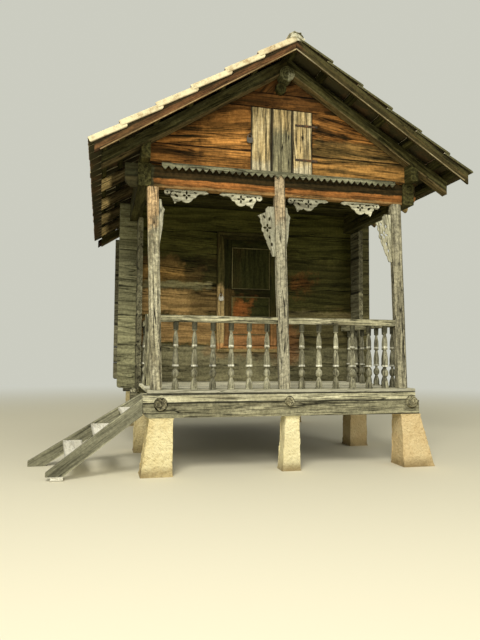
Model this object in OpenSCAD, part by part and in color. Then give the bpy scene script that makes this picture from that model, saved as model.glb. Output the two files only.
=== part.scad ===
// Raised timber granary on stone piers, with an open porch, a plank-walled store room,
// a loft under a tiled gable roof and a short side stair.
// The origin is on the ground, at the middle of the foot of the middle front pier.
// X runs along the front, Y from the front to the back, Z up. All sizes are in millimetres.

/* [Setting out] */
// Length of the two beams across the front
deck_w = 3400; // [3200:10:3600]
// Depth of the front beams from front to back
front_beam_d = 240; // [220:5:260]
// From the face of the front beams to the face of the front wall
porch_d = 1850; // [1750:10:2050]
// From the face of the front wall to the back of the rear wall
room_d = 2905; // [2600:10:3200]
// How far the side walls stand in from the ends of the front beams
wall_inset = 10; // [5:1:30]

/* [Base] */
// Height of the stone piers
pier_h = 641; // [500:5:800]
// Height of the lower bearing beams
lower_beam_h = 169; // [150:1:190]
// Height of the upper front beam
upper_beam_h = 100; // [90:1:130]
// How much shorter the upper front beam is at its right end
upper_beam_short = 50; // [10:5:70]
// Radius of the worn lower left corner of the lower beam
worn_beam_r = 90; // [50:5:110]
// Height of the sill beams under the front and rear walls
wall_sill_h = 60; // [50:1:70]
// Width of the beams under the walls
wall_beam_d = 220; // [200:5:240]
// Reach of the beams under the walls beyond the side walls
wall_beam_reach = 60; // [20:5:100]
// How far the middle row of piers stands in front of the front wall's middle
middle_row_shift = 140; // [100:5:160]
// Thickness of the floors
floor_t = 44; // [30:1:60]
// Gap between the edge of a floor and the walls round it
floor_play = 3; // [2:1:6]
// Radius of the left sleeper log
log_left_r = 75; // [60:1:80]
// Radius of the middle sleeper log
log_middle_r = 55; // [50:1:70]
// Radius of the right sleeper log
log_right_r = 80; // [60:1:85]
// From the left end of the beams to the left sleeper log
log_left_in = 200; // [180:5:240]
// Place of the middle sleeper log
log_middle_x = 10; // [-20:1:40]
// From the right end of the beams to the right sleeper log
log_right_in = 100; // [90:5:140]
// How far the sleeper logs stand out of the front beams
log_reach = 42; // [20:1:80]
// How far the sleeper logs stand out behind the rear wall
log_tail = 90; // [20:1:200]
// Height of the board under the left edge of the porch floor
trimmer_h = 130; // [110:1:150]
// Thickness of the board under the left edge of the porch floor
trimmer_t = 50; // [30:1:60]

/* [Walls] */
// Thickness of the hewn wall planks
wall_t = 68; // [60:1:80]
// Reach of the front and rear planks beyond the side walls
front_plank_reach = 250; // [200:5:300]
// Reach of the side planks beyond the front and rear walls
side_plank_reach = 290; // [200:5:320]
// Side play in the halved corner joints
notch_play = 1; // [1:0.5:3]
// Open seam between two courses of planks or tiles
seam = 0.4; // [0.3:0.1:0.9]
// Radius of the worn lower corners of the lowest planks
plank_corner_r = 40; // [20:5:60]

/* [Door] */
// Place of the door's middle
door_x = 7; // [-40:1:40]
// Clear width between the door stops
door_w = 815; // [760:5:840]
// Height from the deck beams to the bottom of the door frame
door_rise = 475; // [460:5:500]
// Width of the door frame members
jamb_w = 115; // [100:1:130]
// Depth of the door frame
jamb_d = 60; // [56:1:62]
// Height of the lowest member of the door frame
door_sill_h = 103; // [90:1:115]
// How far the door frame stands out of the wall
jamb_proud = 28; // [10:1:40]
// Width of the stop in front of the leaf
stop_w = 12; // [10:1:16]
// Thickness of the stop
stop_t = 16; // [12:1:20]
// Running gap round the door leaf
door_gap = 6; // [5:0.5:8]
// Thickness of the door leaf
leaf_t = 42; // [36:1:50]
// Width of the door's upright members
stile_w = 118; // [100:1:130]
// Height of the door's bottom member
bottom_rail_h = 150; // [120:1:180]
// Height of the door's middle member
middle_rail_h = 110; // [90:1:130]
// Share of the door's height below its middle member, in percent
middle_rail_share = 46; // [38:1:50]
// Depth of the sunk door panels
panel_sink = 12; // [8:1:16]
// Depth of the grooves that hold the door panels
groove_d = 12; // [6:1:15]
// Radius of the hinge pins
hinge_pin_r = 7; // [5:0.5:8]
// Running gap round the hinge pins
hinge_play = 0.6; // [0.5:0.1:1]
// Wall of the hinge eyes
hinge_eye_t = 5; // [4:0.5:6]
// Thickness of the hinge straps
strap_t = 7; // [5:1:9]
// Height of the hinge straps
strap_h = 44; // [36:1:50]
// Length of the hinge straps
strap_l = 420; // [300:5:500]

/* [Porch] */
// Width of the porch posts
post_w = 132; // [110:1:150]
// Depth of the porch posts
post_d = 128; // [110:1:140]
// Worn edge of the porch posts
post_edge = 26; // [10:1:35]
// From the left end of the beams to the middle of the left post's foot
post_left_inset = 150; // [130:1:170]
// Place of the middle post's foot
post_middle_x = -36; // [-60:1:0]
// From the right end of the beams to the middle of the right post's foot
post_right_inset = 208; // [180:1:230]
// How far the posts stand back from the face of the beams
post_set_back = 5; // [0:1:20]
// How far the post tops lean to the left
post_lean = 72; // [20:1:90]
// Height of the handrail above the porch floor
rail_top = 849; // [800:1:950]
// Height of the handrail section
rail_h = 80; // [60:1:90]
// Width of the handrail section
rail_d = 72; // [60:1:80]
// Number of balusters in each front bay
bay_balusters = 6; // [4:1:7]
// Number of balusters in the right side railing
right_balusters = 7; // [4:1:8]
// Number of balusters in the left side railing
left_balusters = 3; // [2:1:4]
// From the left edge of the porch floor to the middle of the left side railing
left_rail_in = 76; // [60:1:90]
// Width of the stair opening behind the left post
stair_opening = 800; // [700:5:850]
// Width of the short newel post
newel_w = 90; // [70:1:100]
// How far the newel post stands above the handrail
newel_top = 60; // [20:1:100]

/* [Stair] */
// Clear width between the stair strings
stair_w = 820; // [760:5:840]
// Level reach of the front string
front_string_reach = 1010; // [960:5:1060]
// Level reach of the rear string
rear_string_reach = 1340; // [1280:5:1400]
// From the porch beams' top down to the top of the strings
string_drop = 40; // [10:1:60]
// Thickness of the stair strings
string_t = 65; // [50:1:75]
// Depth of the stair strings
string_d = 152; // [140:1:190]
// Slope of the front string in degrees
string_front_slope = 37.6; // [35:0.1:40]
// Slope of the rear string in degrees
string_rear_slope = 31; // [29:0.1:34]
// Depth of the treads
tread_d = 225; // [200:1:260]
// Thickness of the treads
tread_t = 36; // [25:1:45]
// Level distance between the fronts of two treads
tread_run = 325; // [300:1:340]
// From the left edge of the porch floor to the front of the top tread
tread_start = 290; // [260:1:320]
// How far the near end of the top tread lies further in than its far end
tread_skew = 20; // [0:1:30]
// How much the skew grows from one tread to the next below it
tread_skew_step = 26; // [0:1:30]
// Number of treads
treads = 3; // [2:1:3]
// How far the front string stands out of the front beams
string_proud = 20; // [10:1:40]
// Height of the stone pad under the front string
pad_h = 45; // [30:1:60]
// Length of the stone pad
pad_w = 140; // [100:5:200]
// From the nose of the front string to the stone pad
pad_in = 50; // [20:5:80]

/* [Loft] */
// How far the loft and roof have settled to the left
loft_shift = 70; // [20:1:80]
// How far the lower side plates stand out over the side walls
plate_out = 35; // [20:1:50]
// Thickness of the lower side plates
plate_t = 150; // [120:1:160]
// Height of the lower side plates
plate_h = 265; // [250:1:280]
// Height of the outer edge of the upper side plates
upper_plate_h = 142; // [110:1:180]
// Thickness of the upper side plates
upper_plate_t = 105; // [90:1:120]
// Depth of the cross beam over the posts
lintel_d = 100; // [90:1:110]
// How far the foot of the cross beam stands back from the gable
lintel_set_back = 28; // [10:1:40]
// How far the foot of the cross beam steps forward
lintel_step = 16; // [10:1:24]
// Height of the front step at the foot of the cross beam
lintel_step_h = 120; // [100:1:130]
// Reach of the cross beam beyond the left side plate
lintel_left_reach = 145; // [120:5:200]
// Reach of the cross beam beyond the right side plate
lintel_right_reach = 45; // [20:1:120]
// Width of the loft joists
joist_w = 90; // [70:1:110]
// Radius of the rounded lower corners of the cross beam
lintel_end_r = 110; // [80:5:130]
// Thickness of the gable planks
gable_t = 66; // [50:1:70]
// Thickness of the loft floor
loft_floor_t = 28; // [20:1:40]
// Width of the loft hatch
hatch_w = 775; // [700:5:820]
// Height of the loft hatch
hatch_h = 785; // [700:5:800]
// Place of the hatch's middle, to the left of the ridge
hatch_left = 24; // [0:1:60]
// Thickness of the hatch boards
hatch_t = 26; // [20:1:32]
// Height of the sawtooth board
saw_board_h = 84; // [74:1:95]
// How far the sawtooth board's top stands above the foot of the gable
saw_board_up = 16; // [5:1:30]
// Thickness of the sawtooth board
saw_board_t = 22; // [16:1:28]
// Length of the sawtooth board
saw_board_w = 2920; // [2700:10:3000]
// Distance between two teeth
tooth_pitch = 78; // [70:1:100]
// Depth of the teeth
tooth_d = 46; // [35:1:50]

/* [Fretwork] */
// Thickness of the fretwork
fret_t = 20; // [14:1:28]
// Length of the brackets under the cross beam
beam_fret_l = 445; // [380:5:470]
// Height of the brackets under the cross beam
beam_fret_h = 170; // [140:5:190]
// Length of the brackets beside the posts
post_fret_l = 600; // [520:5:640]
// Width of the wide brackets beside the posts
post_fret_w = 205; // [170:5:210]
// Width of the narrow brackets beside the posts
narrow_fret_w = 70; // [60:1:90]
// From the cross beam down to the brackets beside the posts
post_fret_drop = 130; // [40:1:150]

/* [Ironwork] */
// Length of the hatch's hinge straps
hatch_strap_l = 285; // [240:5:320]
// Height of the hatch's hinge straps
hatch_strap_h = 26; // [20:1:36]
// Thickness of the hatch's hinge straps
hatch_strap_t = 5; // [4:1:8]
// How far the hatch's hinge straps reach over the gable
hatch_strap_over = 62; // [50:1:90]
// Radius of the bars of staples and lock bows
bow_bar_r = 5; // [4:0.5:6]
// Radius of the staples
staple_r = 17; // [15:1:22]
// Width of the padlocks
lock_w = 74; // [60:1:85]
// Height of the padlocks without their bows
lock_h = 64; // [50:1:80]
// Thickness of the padlocks
lock_t = 20; // [18:1:24]
// Height of the staple on the door frame above its sill
door_staple_h = 760; // [400:10:850]
// Height of the staple beside the hatch above the hatch's foot
hatch_staple_h = 440; // [400:10:600]

/* [Roof] */
// Slope of the roof in degrees
roof_slope = 32.2; // [31:0.1:33.5]
// Depth of the rafters
rafter_d = 140; // [120:1:150]
// Thickness of the gable rafters
rafter_t = 108; // [90:1:120]
// Level distance from the outer faces of the side plates to the rafter ends
rafter_eave = 405; // [300:5:420]
// Number of round rafters between the gables
pole_rafters = 4; // [3:1:6]
// Depth of the tile battens
batten_d = 50; // [40:1:60]
// Width of the tile battens
batten_w = 62; // [50:1:80]
// How far the roof stands out over the gables
verge = 450; // [400:5:550]
// Thickness of the verge boards
verge_board_t = 30; // [25:1:40]
// Depth of the verge boards
verge_board_d = 118; // [110:1:125]
// Level distance from the rafter ends to the eaves of the tiles
tile_eave = 120; // [90:5:200]
// How far the gable planks rise between the rafters
gable_in_rafters = 60; // [20:5:100]
// Number of tile courses on a slope
tile_courses = 6; // [5:1:7]
// Thickness of the tiles
tile_t = 30; // [24:1:36]
// Overlap of two tile courses
tile_lap = 70; // [50:1:100]
// How far the ridge log stands out over the gables
ridge_log_reach = 125; // [115:5:420]
// Radius of the ridge log
ridge_log_r = 92; // [80:1:100]
// From the meeting point of the rafters' undersides down to the middle of the ridge log
ridge_log_drop = 35; // [20:1:60]
// Radius of the corbel log below the ridge log
corbel_log_r = 66; // [55:1:75]
// How far the corbel logs lie to the left of the ridge log
corbel_left = 50; // [0:1:60]
// How far the corbel logs stand out over the gables
corbel_reach = 50; // [20:5:100]
// Length of the corbel logs inside the loft
corbel_tail = 250; // [200:10:400]
// How far the tiles stand out beyond the verge boards
tile_over = 12; // [5:1:30]
// How far the verge boards stop short of the eaves of the tiles
verge_board_short = 50; // [20:1:100]
// How far the upper plates stand out of the gable rafters
upper_plate_reach = 45; // [20:1:80]
// Radius of the ridge tiles
ridge_tile_r = 105; // [95:1:130]
// Thickness of the ridge tiles
ridge_tile_t = 22; // [16:1:28]

/* [Hidden] */
$fn = 48;
// Straight length of a staple before its bow
staple_neck = 20;
// Straight length of a lock's bow above its body
lock_neck = 12;
// Play of a log in its bed
log_play = 2;
// Gap between two pieces that bear on each other
log_gap = 0.3;
// Height of each course of wall planks, from the bottom
plank_heights = [310, 295, 425, 410, 530, 340, 345];
// Places of the loft joists as shares of the porch's and of the room's depth
porch_joist_share = 0.47;
room_joist_shares = [0.34, 0.67];
// Height of each course of gable planks, from the bottom; the one that ends at the hatch's top
// and the last one take what is left
gable_plank_heights = [250, 250, 190];
// Heights in the baluster turning, from the floor up
foot_h = 16;
bell_h = 110;
ball_gap = 10;
ball_h = 98;
neck_h = 30;
ring_h = 28;
small_ring_h = 24;
lower_vase_h = 186;
upper_vase_h = 176;
// From each post to the thick end of the bracket under the beam beside it: right of the left
// post, left and right of the middle post, left of the right post
fret_gaps = [138, 222, 118, 222];
// Radii in the baluster turning
foot_r = 44;
bell_r = 40;
neck_r = 17;
ball_r = 40;
ring_r = 38;
small_ring_r = 32;
lower_vase_r = 36;
upper_vase_r = 31;
block_r = 32;

beam_x = deck_w / 2;
beam_y = front_beam_d / 2;
split_z = pier_h + lower_beam_h;
deck_z = split_z + upper_beam_h;
floor_z = deck_z + floor_t;
wall_z = split_z + wall_sill_h;
wall_x = beam_x - wall_inset;
front_y = porch_d - beam_y;
rear_y = front_y + room_d - wall_t;
wall_lines = [front_y + wall_t / 2, rear_y + wall_t / 2];
stair_edge_x = -beam_x + upper_beam_short;
floor_x = beam_x - upper_beam_short;
// Foot and top of each front pier along X, the outer two from the beams' ends, and the two depths
left_pier = [[-20, 345], [70, 350], [330, 250]];
middle_pier = [[-75, 160], [-38, 150], [220, 200]];
right_pier = [[-240, 180], [-255, 15], [340, 250]];
// The same for the piers under the walls, and how far they stand in from the walls' faces
wall_pier = [[-145, 145], [-135, 135], [310, 290]];
wall_pier_in = [130, 60];
// Middle of each sleeper log and its radius
sleepers = [[-beam_x + log_left_in, log_left_r], [log_middle_x, log_middle_r],
    [beam_x - log_right_in, log_right_r]];

// How far the stone pad stands out in front of and behind the front string
pad_over = [15, 40];

function sum_to(list, n, i = 0) = i < n ? list[i] + sum_to(list, n, i + 1) : 0;
function level(n) = wall_z + sum_to(plank_heights, n);
head_course = 6;
door_z0 = deck_z + door_rise;
door_z1 = level(head_course);
plate_top_z = level(head_course + 1);
plate_z = plate_top_z - plate_h;
plate_half_z = plate_top_z - plate_h / 2;
clear_z0 = door_z0 + door_sill_h;
clear_z1 = door_z1 - jamb_w;
door_out_w = door_w + 2 * jamb_w;
leaf_w = door_w + 2 * (stop_w - door_gap);
leaf_z0 = clear_z0 + door_gap;
leaf_z1 = clear_z1 + stop_w - door_gap;
frame_y = front_y - jamb_proud;
leaf_y = frame_y + stop_t + door_gap;
hinge_eye_r = hinge_pin_r + hinge_play + hinge_eye_t;
hinge_x = door_x + leaf_w / 2 + door_gap / 2;
strap_gap = 2;
hinge_y = leaf_y + leaf_t + hinge_eye_r + strap_gap;

post_left_x = -beam_x + post_left_inset;
post_right_x = beam_x - post_right_inset;
post_y = -beam_y + post_d / 2 + post_set_back;
post_h = plate_z - floor_z;
gable_y = post_y - post_d / 2;
lintel_y = gable_y + lintel_set_back;
rear_gable_y = rear_y + wall_t - gable_t;
rail_z = floor_z + rail_top;
baluster_h = rail_top - rail_h;

plate_x = wall_x + plate_out;
plate_line_x = plate_x - plate_t / 2;
upper_plate_in_x = plate_line_x - upper_plate_t / 2;
roof_x = -loft_shift;
tilt = tan(roof_slope);
slant = cos(roof_slope);
roof_rise = upper_plate_h + tilt * (upper_plate_in_x + upper_plate_t);
rafter_foot_z = plate_top_z + roof_rise;
rafter_reach = plate_x + rafter_eave;
tile_reach = rafter_reach + tile_eave;
tile_bed_z = rafter_foot_z + (rafter_d + batten_d) / slant;
verge_y0 = gable_y - verge;
rear_rafter_y = rear_gable_y + gable_t;
verge_y1 = rear_rafter_y + verge;
course_run = tile_reach / slant / tile_courses;
tile_tip = atan(tile_t / course_run);
joist_ys = [front_y * porch_joist_share, front_y + room_d * room_joist_shares[0],
    front_y + room_d * room_joist_shares[1]];

grey_wood = "#8c8672";
brown_wood = "#6b5138";
red_wood = "#8a5430";
dark_wood = "#4c4330";
stone = "#d8b878";
clay = "#d9c79a";
iron = "#55524c";
steel = "#8d8f90";
pale_wood = "#b9b09a";

// A block from one corner to the opposite one
module block(low, high) {
    translate(low) cube(high - low);
}

// An upright slab whose outline is drawn in X and Z
module slab(y0, y1) {
    translate([0, y1, 0]) rotate([90, 0, 0]) linear_extrude(y1 - y0) children();
}

// A bar whose section is drawn in Y and Z
module bar(x0, x1) {
    translate([x0, 0, 0]) rotate([90, 0, 90]) linear_extrude(x1 - x0) children();
}

// A round log along Y
module log_y(x, z, r, y0, y1) {
    translate([x, y1, z]) rotate([90, 0, 0]) cylinder(r = r, h = y1 - y0);
}

// A tapered pier: the ends of its foot and of its top along X, and the depths of both
module pier(x, y, sizes) {
    foot = sizes[0];
    top = sizes[1];
    foot_d = sizes[2][0];
    top_d = sizes[2][1];
    translate([x, y, 0]) intersection() {
        slab(-foot_d / 2, foot_d / 2)
            polygon([[foot[0], 0], [foot[1], 0], [top[1], pier_h], [top[0], pier_h]]);
        bar(min(foot[0], top[0]), max(foot[1], top[1]))
            polygon([[-foot_d / 2, 0], [foot_d / 2, 0], [top_d / 2, pier_h], [-top_d / 2, pier_h]]);
    }
}

module stone_piers() color(stone) {
    pier(-beam_x, 0, left_pier);
    pier(0, 0, middle_pier);
    pier(beam_x, 0, right_pier);
    for (y = [wall_lines[0] - middle_row_shift, wall_lines[1]]) {
        pier(-wall_x + wall_pier_in[0], y, wall_pier);
        pier(wall_x - wall_pier_in[1], y, wall_pier);
    }
}

module sleeper_cuts() {
    for (log = sleepers)
        log_y(log[0], wall_z - log[1], log[1] + log_play, -front_beam_d, rear_y + wall_beam_d * 2);
}

module bearing_beams() color(grey_wood) difference() {
    union() {
        slab(-beam_y, beam_y) difference() {
            translate([-beam_x, pier_h]) square([deck_w, lower_beam_h]);
            translate([-beam_x, pier_h]) worn_corner(worn_beam_r);
        }
        for (y = wall_lines) cross_beam(y, pier_h, split_z);
    }
    sleeper_cuts();
}

// The waste outside a rounded lower left corner
module worn_corner(r) {
    difference() {
        translate([-1, -1]) square([r + 1, r + 1]);
        translate([r, r]) circle(r);
    }
}

// A beam across the building under a wall
module cross_beam(y, z0, z1) {
    reach = wall_x + wall_beam_reach;
    block([-reach, y - wall_beam_d / 2, z0], [reach, y + wall_beam_d / 2, z1]);
}

module sill_beams() color(grey_wood) difference() {
    union() {
        block([-beam_x, -beam_y, split_z], [floor_x, beam_y, deck_z]);
        for (y = wall_lines) cross_beam(y, split_z, wall_z);
    }
    sleeper_cuts();
}

module sleeper_logs() color(grey_wood) for (log = sleepers)
    log_y(log[0], wall_z - log[1], log[1], -beam_y - log_reach, rear_y + wall_t + log_tail);

// The porch floor is notched round the ends of the side walls
module porch_floor() color(grey_wood) difference() {
    block([-floor_x, -beam_y, deck_z], [floor_x, front_y - floor_play, floor_z]);
    for (side = [0, 1]) mirror([side, 0, 0])
        block([wall_x - wall_t - floor_play, front_y - side_plank_reach - floor_play, deck_z - 1],
            [beam_x, front_y, floor_z + 1]);
}

// The bearer along the wall and the board under the left edge, where the stair arrives
module floor_bearers() color(dark_wood) {
    x = stair_edge_x + trimmer_t;
    bearer_x = wall_x - wall_t - floor_play;
    block([-bearer_x, wall_lines[0] - wall_beam_d / 2, wall_z], [bearer_x, front_y - floor_play, deck_z]);
    block([stair_edge_x, beam_y, deck_z - trimmer_h],
        [x, front_y - side_plank_reach - floor_play, deck_z]);
}

module room_floor() color(dark_wood) {
    x = wall_x - wall_t - floor_play;
    block([-x, front_y + wall_t + floor_play, wall_z], [x, rear_y - floor_play, wall_z + floor_t]);
}

// The level at which two crossing planks of one course are halved into each other
function halving(n) = (level(n) + level(n + 1)) / 2;

// The waste of the corner joints in the front and rear planks: the side planks pass here
module side_wall_passes(n, y) {
    low = n < head_course ? halving(n) : level(n);
    high = n < head_course ? level(n + 1) : plate_z;
    for (side = [-1, 1]) translate([side * (wall_x - wall_t / 2), y + wall_t / 2, (low + high) / 2])
        cube([wall_t + 2 * notch_play, wall_t + 2, high - low], center = true);
}

// One course of a front or rear wall between two places
module plank(n, y, x0, x1) {
    difference() {
        block([x0, y, level(n)], [x1, y + wall_t, level(n + 1) - seam]);
        side_wall_passes(n, y);
        if (n == head_course) {
            plate_passes(y, wall_t);
            roof_waste(y, x1);
        }
    }
}

// The waste at the right end of a top plank, where the rafters pass over it
module roof_waste(y, x1) {
    over = 1;
    slope_x = (roof_rise - log_gap) / tilt + roof_x;
    slab(y - over, y + wall_t + over) polygon([[slope_x, plate_top_z],
        [x1 + over, plate_top_z - tilt * (x1 + over - slope_x)], [x1 + over, plate_top_z + over],
        [slope_x, plate_top_z + over]]);
}

// The waste where the side plates pass through the lower half of a cross member
module plate_passes(y, depth) {
    for (side = [-1, 1]) {
        x = roof_x + side * plate_line_x;
        block([x - plate_t / 2 - notch_play, y - 1, plate_z],
            [x + plate_t / 2 + notch_play, y + depth + 1, plate_half_z]);
    }
}

front_plank_x = wall_x + front_plank_reach;

module low_plank(y) {
    difference() {
        plank(0, y, -front_plank_x, front_plank_x);
        slab(y - 1, y + wall_t + 1) for (side = [0, 1]) mirror([side, 0])
            translate([-front_plank_x, wall_z]) worn_corner(plank_corner_r);
    }
}

module rear_wall() color(brown_wood) {
    low_plank(rear_y);
    for (n = [1 : head_course]) plank(n, rear_y, -front_plank_x, front_plank_x);
}

module front_wall_low() color(brown_wood) {
    low_plank(front_y);
    difference() {
        plank(1, front_y, -front_plank_x, front_plank_x);
        block([door_x - door_out_w / 2, front_y - 1, door_z0],
            [door_x + door_out_w / 2, front_y + wall_t + 1, level(2) + 1]);
    }
}

module front_wall_left() color(brown_wood) {
    for (n = [2 : head_course - 1]) plank(n, front_y, -front_plank_x, door_x - door_out_w / 2);
}

module front_wall_right() color(brown_wood) {
    for (n = [2 : head_course - 1]) plank(n, front_y, door_x + door_out_w / 2, front_plank_x);
}

module front_wall_head() color(brown_wood) {
    plank(head_course, front_y, -front_plank_x, front_plank_x);
}

// One side wall: its top course ends under the side plate
module side_wall(side) {
    y0 = front_y - side_plank_reach;
    y1 = rear_y + wall_t + side_plank_reach;
    x0 = side > 0 ? wall_x - wall_t : -wall_x;
    for (n = [0 : head_course - 1]) {
        top = n < head_course - 1 ? level(n + 1) - seam : plate_z;
        difference() {
            block([x0, y0, level(n)], [x0 + wall_t, y1, top]);
            for (y = [front_y, rear_y])
                block([x0 - 1, y - notch_play, level(n) - 1],
                    [x0 + wall_t + 1, y + wall_t + notch_play, halving(n)]);
        }
    }
}

module left_wall() color(brown_wood) side_wall(-1);
module right_wall() color(brown_wood) side_wall(1);

// Plan outline of one door jamb, with its stop, for the left side
module jamb_outline() {
    polygon([[-jamb_w, 0], [0, 0], [0, stop_t], [-stop_w, stop_t], [-stop_w, jamb_d], [-jamb_w, jamb_d]]);
}

// One upright of the door frame between its mitres
module mitre_mask() {
    polygon([[-door_out_w / 2, door_z0], [-door_w / 2, clear_z0], [-door_w / 2, clear_z1],
        [-door_out_w / 2, door_z1]]);
}

module door_jambs() color(red_wood) translate([door_x, frame_y, 0])
    for (side = [0, 1]) mirror([side, 0, 0]) intersection() {
        translate([-door_w / 2, 0, door_z0]) linear_extrude(door_z1 - door_z0) jamb_outline();
        slab(-1, jamb_d + 1) mitre_mask();
    }

module door_head_and_sill() color(red_wood) translate([door_x, frame_y, 0]) {
    x = door_out_w / 2;
    slab(0, jamb_d) polygon([[-x, door_z0], [x, door_z0], [door_w / 2, clear_z0], [-door_w / 2, clear_z0]]);
    difference() {
        slab(0, jamb_d)
            polygon([[-x, door_z1], [x, door_z1], [door_w / 2, clear_z1], [-door_w / 2, clear_z1]]);
        block([-door_w / 2 - stop_w, stop_t, clear_z1 - 1],
            [door_w / 2 + stop_w, jamb_d + 1, clear_z1 + stop_w]);
    }
}

leaf_h = leaf_z1 - leaf_z0;
middle_rail_z = leaf_z0 + leaf_h * middle_rail_share / 100;

rail_x = leaf_w / 2 - stile_w;
// Bottom and top of each level member of the leaf
leaf_rails = [[leaf_z0, leaf_z0 + bottom_rail_h], [middle_rail_z, middle_rail_z + middle_rail_h],
    [leaf_z1 - stile_w, leaf_z1]];

// The two panels, or with play the grooves in which they lie
module leaf_panels(play) {
    x = rail_x + groove_d - log_gap + play;
    for (n = [0, 1])
        block([-x, panel_sink - play, leaf_rails[n][1] - groove_d + log_gap - play],
            [x, leaf_t - panel_sink + play, leaf_rails[n + 1][0] + groove_d - log_gap + play]);
}

// Two stiles, three rails and two panels held in grooves
module door_leaf() color(red_wood) translate([door_x, leaf_y, 0]) {
    difference() {
        union() {
            for (side = [0, 1]) mirror([side, 0, 0])
                block([rail_x, 0, leaf_z0], [leaf_w / 2, leaf_t, leaf_z1]);
            for (rail = leaf_rails)
                block([-rail_x + log_gap, 0, rail[0]], [rail_x - log_gap, leaf_t, rail[1]]);
        }
        leaf_panels(log_gap);
    }
    leaf_panels(0);
}

hinge_levels = [leaf_z0 + bottom_rail_h / 2, leaf_z1 - stile_w / 2];

// A strap on the back of the leaf, with an eye that turns on the pin
module door_straps() color(iron) for (z = hinge_levels) {
    back_y = leaf_y + leaf_t;
    outer_y = back_y + strap_gap + strap_t;
    low = z - strap_h / 2;
    high = z + strap_h / 2;
    difference() {
        union() {
            translate([hinge_x, hinge_y, low]) cylinder(r = hinge_eye_r, h = strap_h);
            block([hinge_x - 2 * hinge_eye_r, back_y + strap_gap, low], [hinge_x, outer_y, high]);
            block([hinge_x - strap_l, back_y, low], [hinge_x - hinge_eye_r, outer_y, high]);
        }
        translate([hinge_x, hinge_y, low - 1]) cylinder(r = hinge_pin_r + hinge_play, h = strap_h + 2);
    }
}

// A pin on an arm that is nailed to the back of the jamb
module door_pintles() color(iron) for (z = hinge_levels) {
    plate_y = frame_y + jamb_d;
    arm_z = z - strap_h / 2 - strap_gap;
    arm_h = 16;
    arm_l = 60;
    plate_t = 6;
    translate([hinge_x, hinge_y, arm_z - arm_h]) cylinder(r = hinge_pin_r, h = arm_h + strap_h + 10);
    difference() {
        block([hinge_x, plate_y, arm_z - arm_h], [hinge_x + arm_l, hinge_y + hinge_pin_r, arm_z]);
        block([hinge_x - 1, plate_y - 1, arm_z - arm_h - 1],
            [hinge_x + arm_l / 4, hinge_y - hinge_eye_r, arm_z + 1]);
    }
    block([hinge_x + arm_l / 2, plate_y, arm_z], [hinge_x + arm_l, plate_y + plate_t, arm_z + strap_h]);
}

// A leaning post with worn edges, from the porch floor up to a level
module post(x, top_z) {
    w = post_w / 2;
    d = post_d / 2;
    e = post_edge;
    lean = atan(post_lean / post_h);
    intersection() {
        translate([x, post_y, floor_z]) rotate([0, -lean, 0])
            translate([0, 0, -post_w]) linear_extrude(post_h + 4 * post_w) polygon([
                [-w + e, -d], [w - e, -d], [w, -d + e], [w, d - e],
                [w - e, d], [-w + e, d], [-w, d - e], [-w, -d + e]]);
        block([x - post_h, gable_y, floor_z], [x + post_h, post_y + d, top_z]);
    }
}

// The middle post has a tongue in front of the cross beam
module porch_posts() color(grey_wood) {
    post(post_left_x, plate_z);
    post(post_right_x, plate_z);
    difference() {
        post(post_middle_x, plate_top_z);
        block([post_middle_x - post_h, lintel_y, plate_z],
            [post_middle_x + post_h, post_y + post_d, plate_top_z + 1]);
    }
}

// Sideways place of a leaning post's middle at a height above the floor
function post_at(x, h) = x - post_lean * h / post_h;

left_rail_x = stair_edge_x + left_rail_in;
newel_y = stair_opening + post_y + post_d / 2;

module handrails() color(grey_wood) {
    x = [for (foot = [post_left_x, post_middle_x, post_right_x]) post_at(foot, rail_top - rail_h / 2)];
    difference() {
        for (bay = [0, 1])
            block([x[bay], post_y - rail_d / 2, rail_z - rail_h], [x[bay + 1], post_y + rail_d / 2, rail_z]);
        porch_posts();
    }
    difference() {
        block([post_right_x - rail_d / 2, post_y, rail_z - rail_h],
            [post_right_x + rail_d / 2, front_y, rail_z]);
        porch_posts();
    }
    block([left_rail_x - rail_d / 2, newel_y + newel_w / 2, rail_z - rail_h],
        [left_rail_x + rail_d / 2, front_y, rail_z]);
}

// The outline of one turned vase, from its belly up to its neck
function vase(z0, h, belly, neck) =
    [for (i = [0 : 8]) [neck + (belly - neck) * cos(15 * i - 30), z0 + h * i / 8]];

ball_z = foot_h + bell_h + ball_gap;
ring_z = ball_z + ball_h + neck_h;
small_ring_z = ring_z + ring_h + lower_vase_h;
block_z = small_ring_z + small_ring_h + upper_vase_h;

module baluster(x, y) {
    translate([x, y, floor_z]) rotate_extrude() polygon(concat(
        [[0, 0], [foot_r, 0], [foot_r, foot_h]],
        vase(foot_h, bell_h, bell_r, neck_r + 3),
        [for (i = [-4 : 4]) [ball_r * cos(i * 16), ball_z + ball_h / 2 + ball_h / 2 * sin(i * 16) / sin(64)]],
        [[neck_r, ring_z - neck_h + 4], [neck_r, ring_z - 4], [ring_r, ring_z], [ring_r, ring_z + ring_h]],
        vase(ring_z + ring_h, lower_vase_h - 6, lower_vase_r, neck_r),
        [[small_ring_r, small_ring_z], [small_ring_r, small_ring_z + small_ring_h]],
        vase(small_ring_z + small_ring_h, upper_vase_h - 6, upper_vase_r, neck_r - 4),
        [[block_r - 3, block_z], [block_r, baluster_h], [0, baluster_h]]));
}

// Evenly spaced places between two ends, without the ends
function places(a, b, count) = [for (i = [1 : count]) a + (b - a) * i / (count + 1)];

module balusters() color(grey_wood) {
    x = [post_left_x, post_middle_x, post_right_x];
    for (bay = [0, 1], at = places(x[bay], x[bay + 1], bay_balusters)) baluster(at, post_y);
    for (y = places(post_y, front_y, right_balusters)) baluster(post_right_x, y);
    for (y = places(newel_y, front_y, left_balusters)) baluster(left_rail_x, y);
}

module newel() color(grey_wood) {
    block([left_rail_x - newel_w / 2, newel_y - newel_w / 2, floor_z],
        [left_rail_x + newel_w / 2, newel_y + newel_w / 2, rail_z + newel_top]);
}

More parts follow.
